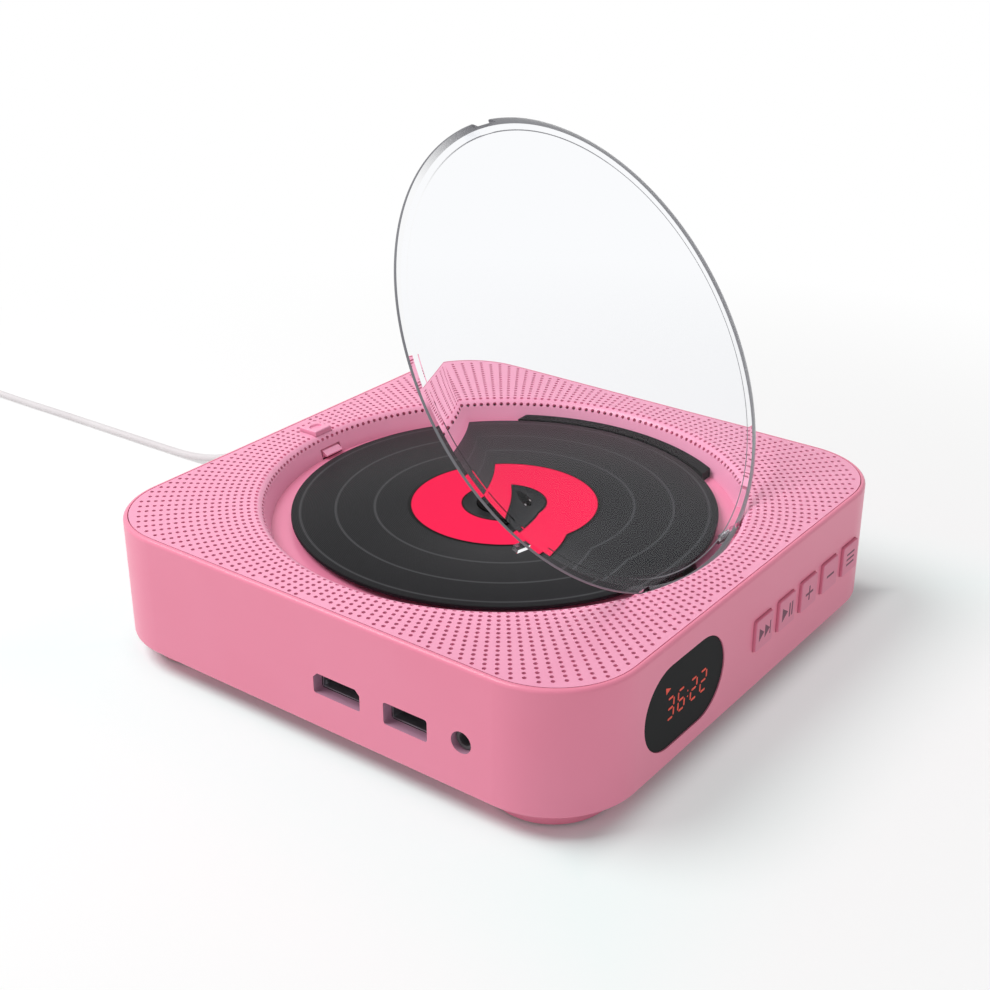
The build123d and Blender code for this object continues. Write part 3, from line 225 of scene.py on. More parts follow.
board_green = plastic("board_green", "#123B22", "#1A4A2B", 0.35, grain=600.0, strength=0.2)
chip_black = plastic("chip_black", "#161616", "#1E1E1E", 0.6, grain=3000.0, strength=0.3)
damper_rubber = plastic("damper_rubber", "#191919", "#232323", 0.8, grain=2500.0, strength=0.4)
hub_black = plastic("hub_black", "#040404", "#060606", 0.5, strength=0.05, specular=0.03)
sled_black = plastic("sled_black", "#101011", "#161617", 0.5, grain=1500.0, strength=0.1, specular=0.1)
ribbon = plastic("ribbon", "#D8D8D2", "#E2E2DC", 0.4, grain=300.0, strength=0.1)
steel = metal("steel", "#A9A9A9", "#B9B9B9", 0.3, anisotropy=0.4)
socket_metal = metal("socket_metal", "#A9AAAE", "#B8B9BD", 0.45)
spring_steel = metal("spring_steel", "#8A8A8C", "#9A9A9C", 0.28)

# Boxes in metres whose colour is painted shade: the cut faces of the wall at the sockets, dulled
# to a purple grey, and the tub's dark edge in the recess behind the latch slot
REVEAL_BOX = ((-0.056, 0.056), (-0.0817, -0.077), (0.012, 0.026))
LATCH_BOX = ((-0.0760, -0.0654), (-0.0060, 0.0060), (0.0200, 0.0420))


def inside_box(tree, box):
    # 1 inside the box, 0 outside it
    axes = object_axes(tree)
    result = 1.0
    for axis, (low, high) in zip("XYZ", box):
        above = add_math(tree, "GREATER_THAN", axes[axis], low)
        below = add_math(tree, "LESS_THAN", axes[axis], high)
        between = add_math(tree, "MULTIPLY", above, below)
        result = add_math(tree, "MULTIPLY", between, result)
    return result


def recolor_box(mat, box, color):
    tree = mat.node_tree
    base_color = tree.nodes["Principled BSDF"].inputs["Base Color"]
    outside = base_color.links[0].from_socket
    tree.links.new(mix_colors(tree, inside_box(tree, box), outside, linear(color)), base_color)


# Painted shade: a dull purple grey on the socket reveals, near black in the latch recess
recolor_box(body_pink, REVEAL_BOX, "#B88BA2")
recolor_box(tub_pink, LATCH_BOX, "#241218")

# Speaker cone: paper with faint fibre
cone_paper, cone_tree, cone_bsdf = new_material("cone_paper")
surface_grain(cone_tree, cone_bsdf, 2200.0, 0.5, 0.0001, 6.0)
tint(cone_tree, cone_bsdf.inputs["Base Color"], "#202022", "#2E2E30", 400.0)
set_inputs(cone_bsdf, Roughness=0.85, Sheen_Weight=0.3)

# Pickup lens
lens_glass, lens_tree, lens_bsdf = new_material("lens_glass")
surface_grain(lens_tree, lens_bsdf, 500.0, 0.01, 0.00001)
set_inputs(lens_bsdf, Base_Color=(0.5, 0.6, 0.95, 1), Transmission_Weight=0.7, Roughness=0.05)

# Lit segments of the display
segment_red, segment_tree, segment_bsdf = new_material("segment_red")
tint(segment_tree, segment_bsdf.inputs["Emission Color"], "#8E3019", "#E8402A", 900.0, (0.0, 1.0))
set_inputs(segment_bsdf, Base_Color=linear("#551208"), Emission_Strength=0.8, Roughness=0.5)

# Clear lid: polished, faintly cool, with clear shadows. Its low IOR keeps what is behind it in place.
LID_IOR = 1.13
DEEP_RAY = 6.5
clear_lid, lid_tree, lid_bsdf = new_material("clear_lid")
surface_grain(lid_tree, lid_bsdf, 25.0, 0.004, 0.0002, 1.0)
set_inputs(lid_bsdf, Base_Color=linear("#FAFBFD"), Transmission_Weight=1.0, Roughness=0.0, IOR=LID_IOR)
lid_path = lid_tree.nodes.new("ShaderNodeLightPath").outputs
lid_clear = add_node(lid_tree, "ShaderNodeBsdfTransparent", Color=(0.93, 0.93, 0.94, 1))
lid_shader = mix_shaders(lid_tree, lid_path["Is Shadow Ray"], lid_bsdf.outputs[0], lid_clear.outputs[0])
# Rays that stay inside the plate end in a painted pale glow, standing in for the light a thick clear edge
# gives back
lid_deep = add_math(lid_tree, "GREATER_THAN", lid_path["Ray Depth"], DEEP_RAY)
lid_pale = add_node(lid_tree, "ShaderNodeEmission", Color=(0.86, 0.86, 0.87, 1), Strength=1.0)
show_shader(lid_tree, mix_shaders(lid_tree, lid_deep, lid_shader, lid_pale.outputs[0]))


# Rim of the lid: the same clear plastic, painted grey with a faint glow at its cut edge and at its far and
# free side, a painted reflection standing in for the dark band the thick clear edge shows
def painted_grey_glow(name, color, glow):
    mat, tree, bsdf = new_material(name)
    surface_grain(tree, bsdf, 900.0, 0.05, 0.00003)
    tint(tree, bsdf.inputs["Base Color"], color, color, 60.0)
    set_inputs(bsdf, Roughness=0.35, Specular_IOR_Level=0.2)
    set_inputs(bsdf, Emission_Color=linear(color), Emission_Strength=glow)
    return mat


# The rim's painted grey fades in from the near side to the far side, between these places on Y in metres
RIM_FADE = (-0.036, -0.004)
clear_edge = painted_grey_glow("clear_edge", "#626266", 0.5)
clear_rim = painted_grey_glow("clear_rim", "#68686B", 0.7)
rim_tree = clear_rim.node_tree
rim_grey = rim_tree.nodes["Principled BSDF"]
rim_clear = add_node(rim_tree, "ShaderNodeBsdfTransparent", Color=(0.98, 0.98, 0.98, 1))
rim_share = smooth_range(rim_tree, object_axes(rim_tree)["Y"], *RIM_FADE, 0.0, 1.0)
show_shader(rim_tree, mix_shaders(rim_tree, rim_share, rim_clear.outputs[0], rim_grey.outputs[0]))


def radius_value(tree):
    # Distance from the disc axis, in mm
    axes = object_axes(tree)
    join = tree.nodes.new("ShaderNodeCombineXYZ")
    length = tree.nodes.new("ShaderNodeVectorMath")
    length.operation = "LENGTH"
    tree.links.new(axes["X"], join.inputs["X"])
    tree.links.new(axes["Y"], join.inputs["Y"])
    tree.links.new(join.outputs["Vector"], length.inputs[0])
    return add_math(tree, "MULTIPLY", length.outputs["Value"], 1000.0)


def radius_ramp(tree, radius, largest, stops):
    # Colour by radius: stops are (radius in mm, colour)
    ramp = tree.nodes.new("ShaderNodeValToRGB")
    elements = ramp.color_ramp.elements
    while len(elements) < len(stops):
        elements.new(1.0)
    for element, (stop_radius, color) in zip(elements, stops):
        element.position = stop_radius / largest
        element.color = color
    tree.links.new(add_math(tree, "DIVIDE", radius, largest), ramp.inputs["Fac"])
    return ramp.outputs["Color"]


# Disc: black, with fine ring grooves, plain separator bands and a turned sheen
BAND_RADII = (36.5, 47.5, 57.5)
BAND_HALF = 0.2
BAND_FADE = 0.45
DISC_RAMP_R = 62.0
LABEL_RAMP_R = 30.0
GROOVE_PITCH = 0.45
disc_black, disc_tree, disc_bsdf = new_material("disc_black")
disc_radius = radius_value(disc_tree)
dark = linear("#1D1D1F")
pale = linear("#3E3E40")
black = linear("#060607")
stops = [(0.0, dark), (26.35, dark), (26.5, black), (27.1, black), (27.3, dark)]
for band in BAND_RADII:
    stops += [(band - BAND_FADE, dark), (band - BAND_HALF, pale)]
    stops += [(band + BAND_HALF, pale), (band + BAND_FADE, dark)]
disc_color = radius_ramp(disc_tree, disc_radius, DISC_RAMP_R, stops)
disc_tree.links.new(disc_color, disc_bsdf.inputs["Base Color"])
groove_angle = add_math(disc_tree, "MULTIPLY", disc_radius, 2 * math.pi / GROOVE_PITCH)
groove_bump = add_node(disc_tree, "ShaderNodeBump", Strength=0.35, Distance=0.00004)
disc_tree.links.new(add_math(disc_tree, "SINE", groove_angle), groove_bump.inputs["Height"])
disc_tree.links.new(groove_bump.outputs["Normal"], disc_bsdf.inputs["Normal"])
disc_tangent = disc_tree.nodes.new("ShaderNodeTangent")
disc_tangent.direction_type = "RADIAL"
disc_tangent.axis = "Z"
disc_tree.links.new(disc_tangent.outputs["Tangent"], disc_bsdf.inputs["Tangent"])
set_inputs(disc_bsdf, Anisotropic=0.85, Roughness=0.32, Specular_IOR_Level=0.07)

# Label: red, with a black centre and a thin black ring at its edge
label_red, label_tree, label_bsdf = new_material("label_red")
red = linear("#EA1B4B")
ink = linear("#060405")
label_stops = [(0.0, ink), (11.8, ink), (12.1, red), (26.0, red), (26.3, ink), (26.5, ink)]
label_color = radius_ramp(label_tree, radius_value(label_tree), LABEL_RAMP_R, label_stops)
label_tree.links.new(label_color, label_bsdf.inputs["Base Color"])
surface_grain(label_tree, label_bsdf, 1600.0, 0.15, 0.00003)
set_inputs(label_bsdf, Roughness=0.6, Specular_IOR_Level=0.08)

# Floor: pale, with full shade by the case, going to plain white away from it. Painted light: a cool tint
# near the case cancels the pink light the case throws on it, and a painted glow thins the floor's shade
# with distance
SHADE_TONE = (0.82, 0.97, 0.945, 1)
OPEN_TONE = (0.95, 0.95, 0.95, 1)
# Where each change starts and ends: the larger of |x| and |y| in metres, or the radius in mm
TONE_REACH = (0.082, 0.14)
GLOW_REACH = (0.077, 0.088)
FAR_REACH = (120.0, 420.0)
floor_mat, floor_tree, floor_bsdf = new_material("floor_pale")
set_inputs(floor_bsdf, Roughness=0.9, Specular_IOR_Level=0.0)
floor_axes = object_axes(floor_tree)
floor_sizes = [add_math(floor_tree, "ABSOLUTE", floor_axes[axis]) for axis in "XY"]
floor_box = add_math(floor_tree, "MAXIMUM", *floor_sizes)
floor_near = smooth_range(floor_tree, floor_box, *TONE_REACH, 0.0, 1.0)
floor_tone = mix_colors(floor_tree, floor_near, SHADE_TONE, OPEN_TONE)
floor_tree.links.new(floor_tone, floor_bsdf.inputs["Base Color"])
# Painted glow: emission mixed in, slight by the case and more further out, lifts the floor's shade
floor_glow = smooth_range(floor_tree, floor_box, *GLOW_REACH, 0.05, 0.42)
floor_far = smooth_range(floor_tree, radius_value(floor_tree), *FAR_REACH, 0.0, 0.65)
floor_share = add_math(floor_tree, "ADD", floor_glow, floor_far)
floor_white = add_node(floor_tree, "ShaderNodeEmission", Color=(1, 1, 1, 1), Strength=1.0)
show_shader(floor_tree, mix_shaders(floor_tree, floor_share, floor_bsdf.outputs[0], floor_white.outputs[0]))


# Mesh helpers
def link(obj):
    bpy.context.scene.collection.objects.link(obj)
    return obj


def mesh_object(name, verts, faces, mat):
    mesh = bpy.data.meshes.new(name)
    mesh.from_pydata([tuple(v) for v in verts], [], faces)
    mesh.validate()
    mesh.materials.append(mat)
    return link(bpy.data.objects.new(name, mesh))


def smooth(obj, degrees):
    # Smooth shading, with an edge where two faces meet at more than this angle
    obj.data.polygons.foreach_set("use_smooth", [True] * len(obj.data.polygons))
    obj.data.set_sharp_from_angle(angle=math.radians(degrees))


def outward(obj):
    # Joins double points and turns every face outward
    bm = bmesh.new()
    bm.from_mesh(obj.data)
    bmesh.ops.remove_doubles(bm, verts=bm.verts, dist=1e-7)
    bmesh.ops.recalc_face_normals(bm, faces=bm.faces)
    bm.to_mesh(obj.data)
    bm.free()


def lathe(name, profile, mat, segments):
    # Turns (radius, height) points in mm about Z. Points on the axis make a single vertex.
    verts = []
    rings = []
    for radius, height in profile:
        if radius == 0:
            rings.append([len(verts)])
            verts.append((0, 0, height * MM))
            continue
        ring = []
        for step in range(segments):
            angle = 2 * math.pi * step / segments
            ring.append(len(verts))
            verts.append((radius * math.cos(angle) * MM, radius * math.sin(angle) * MM, height * MM))
        rings.append(ring)
    faces = []
    for low, high in zip(rings, rings[1:]):
        for step in range(segments):
            after = (step + 1) % segments
            if len(low) == 1:
                faces.append((low[0], high[step], high[after]))
            elif len(high) == 1:
                faces.append((low[step], high[0], low[after]))
            else:
                faces.append((low[step], high[step], high[after], low[after]))
    obj = mesh_object(name, verts, faces, mat)
    outward(obj)
    return obj


def prism(name, outline, place, depth, mat):
    # Solid from a flat outline in mm. place turns (u, v, w) into a point, w runs through the depth.
    count = len(outline)
    verts = [place(u, v, 0.0) for u, v in outline] + [place(u, v, depth) for u, v in outline]
    faces = [tuple(range(count)), tuple(reversed(range(count, 2 * count)))]
    for step in range(count):
        after = (step + 1) % count
        faces.append((step, after, count + after, count + step))
    obj = mesh_object(name, [Vector(v) * MM for v in verts], faces, mat)
    outward(obj)
    return obj


def on_xz(y0):
    # For prism: outlines in X and Z, from y0 along Y
    return lambda u, v, w: (u, y0 + w, v)


def on_top(z0):
    # For prism: outlines in X and Y, from z0 upward
    return lambda u, v, w: (u, v, z0 + w)


def thin_marks(name, outlines, low_x, high_x, mat):
    # Flat (y, z) outlines in mm, each made a thin solid between two X planes
    verts = []
    faces = []
    for outline in outlines:
        first = len(verts)
        count = len(outline)
        for x in (low_x, high_x):
            verts.extend(Vector((x, y, z)) * MM for y, z in outline)
        faces.append(tuple(range(first + count, first + 2 * count)))
        faces.append(tuple(reversed(range(first, first + count))))
        for step in range(count):
            after = (step + 1) % count
            faces.append((first + step, first + after, first + count + after, first + count + step))
    obj = mesh_object(name, verts, faces, mat)
    outward(obj)
    return obj


def boolean(obj, tool, operation):
    # Applies the tool to the object and removes the tool
    modifier = obj.modifiers.new("cut", "BOOLEAN")
    modifier.object = tool
    modifier.operation = operation
    modifier.solver = "EXACT"
    graph = bpy.context.evaluated_depsgraph_get()
    result = bpy.data.meshes.new_from_object(obj.evaluated_get(graph))
    obj.modifiers.clear()
    obj.data = result
    bpy.data.objects.remove(tool)


def rounded_square(half, radius, steps):
    points = []
    for quarter in range(4):
        centre = Vector((half - radius, half - radius))
        centre.rotate(Matrix.Rotation(math.pi / 2 * quarter, 2))
        for step in range(steps + 1):
            angle = math.pi / 2 * (quarter + step / steps)
            points.append((centre.x + radius * math.cos(angle), centre.y + radius * math.sin(angle)))
    return points


def arc(cx, cy, radius, start_deg, end_deg, steps):
    return [
        (
            cx + radius * math.cos(math.radians(start_deg + (end_deg - start_deg) * i / steps)),
            cy + radius * math.sin(math.radians(start_deg + (end_deg - start_deg) * i / steps)),
        )
        for i in range(steps + 1)
    ]


# The cord comes first: from the power plug over the floor to the coil and the far plug
CORD_POINTS = (
    (-98.0, 23.6, 13.0),
    (-124.0, 23.6, 13.0),
    (-148.0, 23.5, 1.3),
    (-184.0, 22.4, 1.3),
    (-221.0, 21.5, 1.3),
    (-259.0, 20.0, 1.3),
    (-296.0, 20.0, 2.1),
)
CORD_D = 2.6
COIL_X = -296.0
COIL_Y = -0.25
COIL_OUTER_R = 20.25
COIL_INNER_R = 10.95
COIL_LAST_R = 21.3
COIL_LAYER = 3.1
COIL_EXIT_R = COIL_OUTER_R + COIL_LAYER
COIL_Z = 2.1
COIL_TURNS = 12.5
COIL_STEPS = 24
FAR_PLUG_X = -277.0
FAR_PLUG_Y = COIL_Y - COIL_EXIT_R
FAR_PLUG_Z = 3.75
# A layer takes three turns: it winds for 2.5 and climbs to the next in the last half. The top layer
# winds for all three. After it the cord swings out in a quarter turn and comes down in another.
LAYER_TURNS = 3
WIND_TURNS = 2.5
CLIMB_TURNS = 0.5
EXIT_TURNS = 0.25
TOP_LAYER = 3


def coil_state(turns):
    # Radius and height of the cord after this many turns
    layer = min(int(turns // LAYER_TURNS), TOP_LAYER + 1)
    part_turn = turns - LAYER_TURNS * layer
    if layer > TOP_LAYER:
        out = min(part_turn / EXIT_TURNS, 1.0)
        down = max(part_turn - EXIT_TURNS, 0) / EXIT_TURNS
        radius = COIL_LAST_R + (COIL_EXIT_R - COIL_LAST_R) * out
        return radius, COIL_Z + TOP_LAYER * COIL_LAYER * (1 - down)
    on_top_layer = layer == TOP_LAYER
    wind = LAYER_TURNS if on_top_layer else WIND_TURNS
    share = min(part_turn / wind, 1.0)
    climb = 0 if on_top_layer else max(part_turn - wind, 0) / CLIMB_TURNS
    inward = layer % 2 == 0
    start_r = COIL_OUTER_R if inward else COIL_INNER_R
    end_r = COIL_INNER_R if inward else (COIL_LAST_R if on_top_layer else COIL_OUTER_R)
    return start_r + (end_r - start_r) * share, COIL_Z + COIL_LAYER * (layer + climb)


cord_points = list(CORD_POINTS)
for step in range(1, int(COIL_TURNS * COIL_STEPS) + 1):
    coil_turn = step / COIL_STEPS
    coil_radius, coil_height = coil_state(coil_turn)
    coil_angle = math.radians(90 + 360 * coil_turn)
    cord_points.append(
        (
            COIL_X + coil_radius * math.cos(coil_angle),
            COIL_Y + coil_radius * math.sin(coil_angle),
            coil_height,
        )
    )
cord_points += [
    (COIL_X + 8.0, FAR_PLUG_Y, COIL_Z),
    (FAR_PLUG_X - 4.0, FAR_PLUG_Y, FAR_PLUG_Z),
    (FAR_PLUG_X + 6.0, FAR_PLUG_Y, FAR_PLUG_Z),
]
cord_curve = bpy.data.curves.new("cord", "CURVE")
cord_curve.dimensions = "3D"
cord_curve.bevel_depth = CORD_D / 2 * MM
cord_curve.bevel_resolution = 6
cord_curve.resolution_u = 12
cord_curve.use_fill_caps = True
cord_spline = cord_curve.splines.new("NURBS")
cord_spline.points.add(len(cord_points) - 1)
for point, place in zip(cord_spline.points, cord_points):
    point.co = (place[0] * MM, place[1] * MM, place[2] * MM, 1)
cord_spline.order_u = 3
cord_spline.use_endpoint_u = True
cord_curve.materials.append(cord_white)
cord = link(bpy.data.objects.new("cord", cord_curve))
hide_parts("power_cord", "power_cord_coil")
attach(cord, "case")


# Top plate: one skin from the plate over the rolled edge and down the well wall
TOP_Z = 41.4
PLATE_HALF = 80.3
PLATE_R = 22.75
CORNER_STEPS = 16
ROLL_R = 3.4
ROLL_START = 70.3
ROLL_TURN = math.radians(70)
ROLL_LENGTH = ROLL_R * ROLL_TURN
WALL_LEAN = math.radians(20)
WALL_LENGTH = 4.74
WELL_FLOOR_Z = 34.7
SKIN = 1.5
HOLE_D = 1.15
HOLE_SIDES = 12
HOLE_COLUMNS = 200
HOLE_FIRST_DEG = 1.516
RING_FIRST_R = 69.54
RING_PITCH = 1.982
RING_COUNT = 18
EDGE_RING_R = 67.56
HOLE_MARGIN = 1.0


def flat_radius(r):
    # Radius on the unrolled skin of a point at radius r on the plate or the roll
    if r >= ROLL_START:
        return r
    return ROLL_START - ROLL_R * math.asin(min(1.0, (ROLL_START - r) / ROLL_R))


def on_skin(x, y):
    # Folds a point of the unrolled skin into place
    rho = math.hypot(x, y)
    along = ROLL_START - rho
    if along <= 0:
        return (x, y, TOP_Z)
    if along <= ROLL_LENGTH:
        angle = along / ROLL_R
        radius = ROLL_START - ROLL_R * math.sin(angle)
        height = TOP_Z - ROLL_R * (1 - math.cos(angle))
    else:
        rest = along - ROLL_LENGTH
        radius = ROLL_START - ROLL_R * math.sin(ROLL_TURN) - rest * math.sin(WALL_LEAN)
        height = TOP_Z - ROLL_R * (1 - math.cos(ROLL_TURN)) - rest * math.cos(WALL_LEAN)
    return (x / rho * radius, y / rho * radius, height)


def inside_plate(x, y, margin):
    half = PLATE_HALF - margin
    radius = PLATE_R - margin
    dx = max(abs(x) - (half - radius), 0)
    dy = max(abs(y) - (half - radius), 0)
    return abs(x) <= half and abs(y) <= half and math.hypot(dx, dy) <= radius


def ring_outline(radius, count):
    return [
        (radius * math.cos(2 * math.pi * i / count), radius * math.sin(2 * math.pi * i / count))
        for i in range(count)
    ]


# Openings in the unrolled skin, and the span round the button that has no holes
BUTTON_HOLE = ((-75.6, -3.7), (-68.52, -3.7), (-68.52, 3.7), (-75.6, 3.7))
LATCH_SLOT = ((-64.38, -4.1), (-60.0, -4.1), (-60.0, 4.1), (-64.38, 4.1))
BUTTON_SPAN_X = (-76.2, -68.0)
BUTTON_SPAN_Y = 4.3
HINGE_NOTCH_DEG = 24.0
HINGE_NOTCH_R = 67.3
HINGE_NOTCH_INNER_R = 55.0
NOTCH_STEPS = 12
# Distances down the roll of the edge rings that let the skin bend, clear of the holes
BENDS = (0.0, 0.1, 1.42, 1.9, 2.45, 3.95, ROLL_LENGTH)
BEND_STEPS = 360

hole_centres = []
ring_radii = [flat_radius(EDGE_RING_R)] + [
    flat_radius(RING_FIRST_R + RING_PITCH * ring) for ring in range(RING_COUNT)
]
for ring_radius in ring_radii:
    for column in range(HOLE_COLUMNS):
        hole_angle = math.radians(HOLE_FIRST_DEG + 360.0 / HOLE_COLUMNS * column)
        hx = ring_radius * math.cos(hole_angle)
        hy = ring_radius * math.sin(hole_angle)
        in_button = BUTTON_SPAN_X[0] < hx < BUTTON_SPAN_X[1] and abs(hy) < BUTTON_SPAN_Y
        if inside_plate(hx, hy, HOLE_MARGIN) and not in_button:
            hole_centres.append((hx, hy))

skin_verts = []
skin_faces = []
skin_edges = []


def add_outline(points):
    first = len(skin_verts)
    skin_verts.extend(Vector(p) for p in points)
    skin_faces.append(list(range(first, first + len(points))))


add_outline(rounded_square(PLATE_HALF, PLATE_R, CORNER_STEPS))
add_outline(ring_outline(ROLL_START - ROLL_LENGTH - WALL_LENGTH, BEND_STEPS))
add_outline(BUTTON_HOLE)
add_outline(LATCH_SLOT)
notch = arc(0, 0, HINGE_NOTCH_R, -HINGE_NOTCH_DEG, HINGE_NOTCH_DEG, NOTCH_STEPS)
notch += arc(0, 0, HINGE_NOTCH_INNER_R, HINGE_NOTCH_DEG, -HINGE_NOTCH_DEG, 1)
add_outline(notch)
hole_outline = ring_outline(HOLE_D / 2, HOLE_SIDES)
for hx, hy in hole_centres:
    add_outline([(hx + x, hy + y) for x, y in hole_outline])
for bend in BENDS:
    first = len(skin_verts)
    skin_verts.extend(Vector(p) for p in ring_outline(ROLL_START - bend, BEND_STEPS))
    skin_edges.extend((first + i, first + (i + 1) % BEND_STEPS) for i in range(BEND_STEPS))

flat_verts, _, flat_faces, _, _, face_origin = delaunay_2d_cdt(
    skin_verts, skin_edges, skin_faces, 1, 1e-5
)
# Only the faces that lie in the plate and in none of its openings
kept = [face for face, origin in zip(flat_faces, face_origin) if list(origin) == [0]]
panel = mesh_object(
    "top_panel",
    [Vector(on_skin(v.x, v.y)) * MM for v in flat_verts],
    kept,
    panel_pink,
)
panel_bm = bmesh.new()
panel_bm.from_mesh(panel.data)
loose = [v for v in panel_bm.verts if not v.link_faces]
bmesh.ops.delete(panel_bm, geom=loose, context="VERTS")
bmesh.ops.recalc_face_normals(panel_bm, faces=panel_bm.faces)
for face in panel_bm.faces:
    if face.normal.z < -0.2:
        face.normal_flip()
panel_bm.to_mesh(panel.data)
panel_bm.free()
panel_thick = panel.modifiers.new("skin", "SOLIDIFY")
panel_thick.thickness = SKIN * MM
panel_thick.offset = -1
graph = bpy.context.evaluated_depsgraph_get()
panel.data = bpy.data.meshes.new_from_object(panel.evaluated_get(graph))
panel.modifiers.clear()
# The wall ends on the well's floor, and the inner skin stays clear of the open button's way down
BUTTON_FRONT_X = -68.6 * MM
BUTTON_ROLL_X = -70.0 * MM
BUTTON_SIDE_Y = 3.8 * MM
INNER_SKIN_Z = 40.0 * MM
for vert in panel.data.vertices:
    vert.co.z = max(vert.co.z, WELL_FLOOR_Z * MM)
    by_button = BUTTON_ROLL_X < vert.co.x < BUTTON_FRONT_X and abs(vert.co.y) < BUTTON_SIDE_Y
    if by_button and vert.co.z < INNER_SKIN_Z:
        vert.co.x = BUTTON_FRONT_X
smooth(panel, 35)
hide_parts("grille_panel")
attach(panel, "case")


# Clear lid: built shut, then swung open about the hinge line
HINGE_X = 60.86
HINGE_Z = 38.34
LID_OPEN_DEG = 56.2
LID_R = 65.4
LID_UNDER_Z = 39.8
LID_EDGE_Z = 40.4
LID_TOP_Z = 44.0
LID_CROWN_R = 58.0
LINE_RING_R = (61.2, 61.5)
RIM_RING_R = 63.1
EDGE_FACE_R = 63.8
EDGE_FACE_TOP_Z = LID_EDGE_Z + 0.4
CROWN_STEPS = 24
LID_SEGMENTS = 288
LID_SMOOTH_DEG = 25
RIM_NOTCH = ((-68.0, -3.7), (-64.0, -3.7), (-64.0, 3.7), (-68.0, 3.7))
RIM_NOTCH_Z = 38.8
RIM_NOTCH_HEIGHT = 8.0
LUG_R = 1.5
LUG_LENGTH = 2.8
LUG_LOW_YS = (-24.4, 21.6)
CATCH_OUTLINE = ((-61.4, 40.4), (-62.9, 40.4), (-62.9, 35.45), (-65.0, 35.45), (-64.4, 34.9), (-61.4, 34.9))
CATCH_HALF = 2.6
POST_PLACE = (34.3, -54.5)
POST_TURN_DEG = -57.8
POST_CORNERS = ((-0.7, -0.9), (0.7, -0.9), (0.7, 0.9), (-0.7, 0.9))
POST_Z = 35.7
POST_HEIGHT = 4.5
CROWN_RUN = LID_R - LID_CROWN_R
CROWN_RISE = LID_TOP_Z - LID_EDGE_Z
CROWN_ARC = (CROWN_RUN**2 + CROWN_RISE**2) / (2 * CROWN_RISE)
lid_profile = [(0.0, LID_UNDER_Z), (40.0, LID_UNDER_Z)]
lid_profile += [(radius, LID_UNDER_Z) for radius in (*LINE_RING_R, RIM_RING_R, LID_R - 0.2)]
lid_profile += [(LID_R, LID_UNDER_Z + 0.2), (LID_R, LID_EDGE_Z)]
crown_sweep = math.asin(CROWN_RUN / CROWN_ARC)
for step in range(1, CROWN_STEPS + 1):
    crown_angle = crown_sweep * (1 - step / CROWN_STEPS)
    crown_r = LID_CROWN_R + CROWN_ARC * math.sin(crown_angle)
    lid_profile.append((crown_r, LID_TOP_Z - CROWN_ARC * (1 - math.cos(crown_angle))))
lid_profile += [(30.0, LID_TOP_Z), (0.0, LID_TOP_Z)]
lid = lathe("lid_clear", lid_profile, clear_lid, LID_SEGMENTS)
smooth(lid, LID_SMOOTH_DEG)
boolean(lid, prism("notch_tool", RIM_NOTCH, on_top(RIM_NOTCH_Z), RIM_NOTCH_HEIGHT, clear_lid), "DIFFERENCE")
for lug_low in LUG_LOW_YS:
    lug_outline = arc(HINGE_X, HINGE_Z, LUG_R, 180, 360, 16)
    lug_outline += [(HINGE_X + LUG_R, LID_EDGE_Z), (HINGE_X - LUG_R, LID_EDGE_Z)]
    boolean(lid, prism("lug_tool", lug_outline, on_xz(lug_low), LUG_LENGTH, clear_lid), "UNION")
catch_tool = prism("catch_tool", CATCH_OUTLINE, on_xz(-CATCH_HALF), 2 * CATCH_HALF, clear_lid)
boolean(lid, catch_tool, "UNION")
post_turn = Matrix.Rotation(math.radians(POST_TURN_DEG), 2)
post_outline = [tuple(Vector(POST_PLACE) + post_turn @ Vector(p)) for p in POST_CORNERS]
boolean(lid, prism("post_tool", post_outline, on_top(POST_Z), POST_HEIGHT, clear_lid), "UNION")
smooth(lid, LID_SMOOTH_DEG)
lid.data.materials.append(clear_edge)
lid.data.materials.append(clear_rim)
EDGE_SLOT = 1
RIM_SLOT = 2
for face in lid.data.polygons:
    face_r = math.hypot(face.center.x, face.center.y) / MM
    face_z = face.center.z / MM
    level = abs(face.normal.z)
    if abs(face_z - LID_UNDER_Z) < 0.01 and level > 0.9:
        if LINE_RING_R[0] < face_r < LINE_RING_R[1] or face_r > RIM_RING_R:
            face.material_index = RIM_SLOT
    elif face_r > EDGE_FACE_R and level < 0.8 and LID_UNDER_Z < face_z < EDGE_FACE_TOP_Z:
        face.material_index = EDGE_SLOT
hinge_place = Matrix.Translation(Vector((HINGE_X, 0, HINGE_Z)) * MM)
swing = hinge_place @ Matrix.Rotation(math.radians(LID_OPEN_DEG), 4, "Y") @ hinge_place.inverted()
lid.data.transform(swing)
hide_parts("lid")
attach(lid, "lid_body")


# Disc with a rounded rim and a raised ring round its centre
DISC_LOW = 36.3
DISC_TOP = 37.5
DISC_HOLE_R = 7.5
DISC_SEGMENTS = 256
disc_profile = [(DISC_HOLE_R, DISC_LOW), (DISC_HOLE_R, 37.35), (7.65, DISC_TOP)]
disc_profile += [(10.6, DISC_TOP), (10.9, 37.62), (11.3, 37.62), (11.5, DISC_TOP), (30.0, DISC_TOP)]
disc_profile += [(59.6, DISC_TOP), (59.88, 37.4), (60.0, 37.15), (60.0, 36.6), (59.7, DISC_LOW)]
disc_profile += [(DISC_HOLE_R, DISC_LOW)]
disc = lathe("disc_grooved", disc_profile, disc_black, DISC_SEGMENTS)
smooth(disc, 30)
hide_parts("disc")
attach(disc, "turntable_body")


# Springs of the open button, which shorten as it goes down: here a fixed steel copy of their mesh, on the
# case
springs = link(bpy.data.objects.new("button_coils", nodes["button_springs"].data.copy()))
springs.data.materials.clear()
springs.data.materials.append(spring_steel)
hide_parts("button_springs")
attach(springs, "case")
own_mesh(springs)


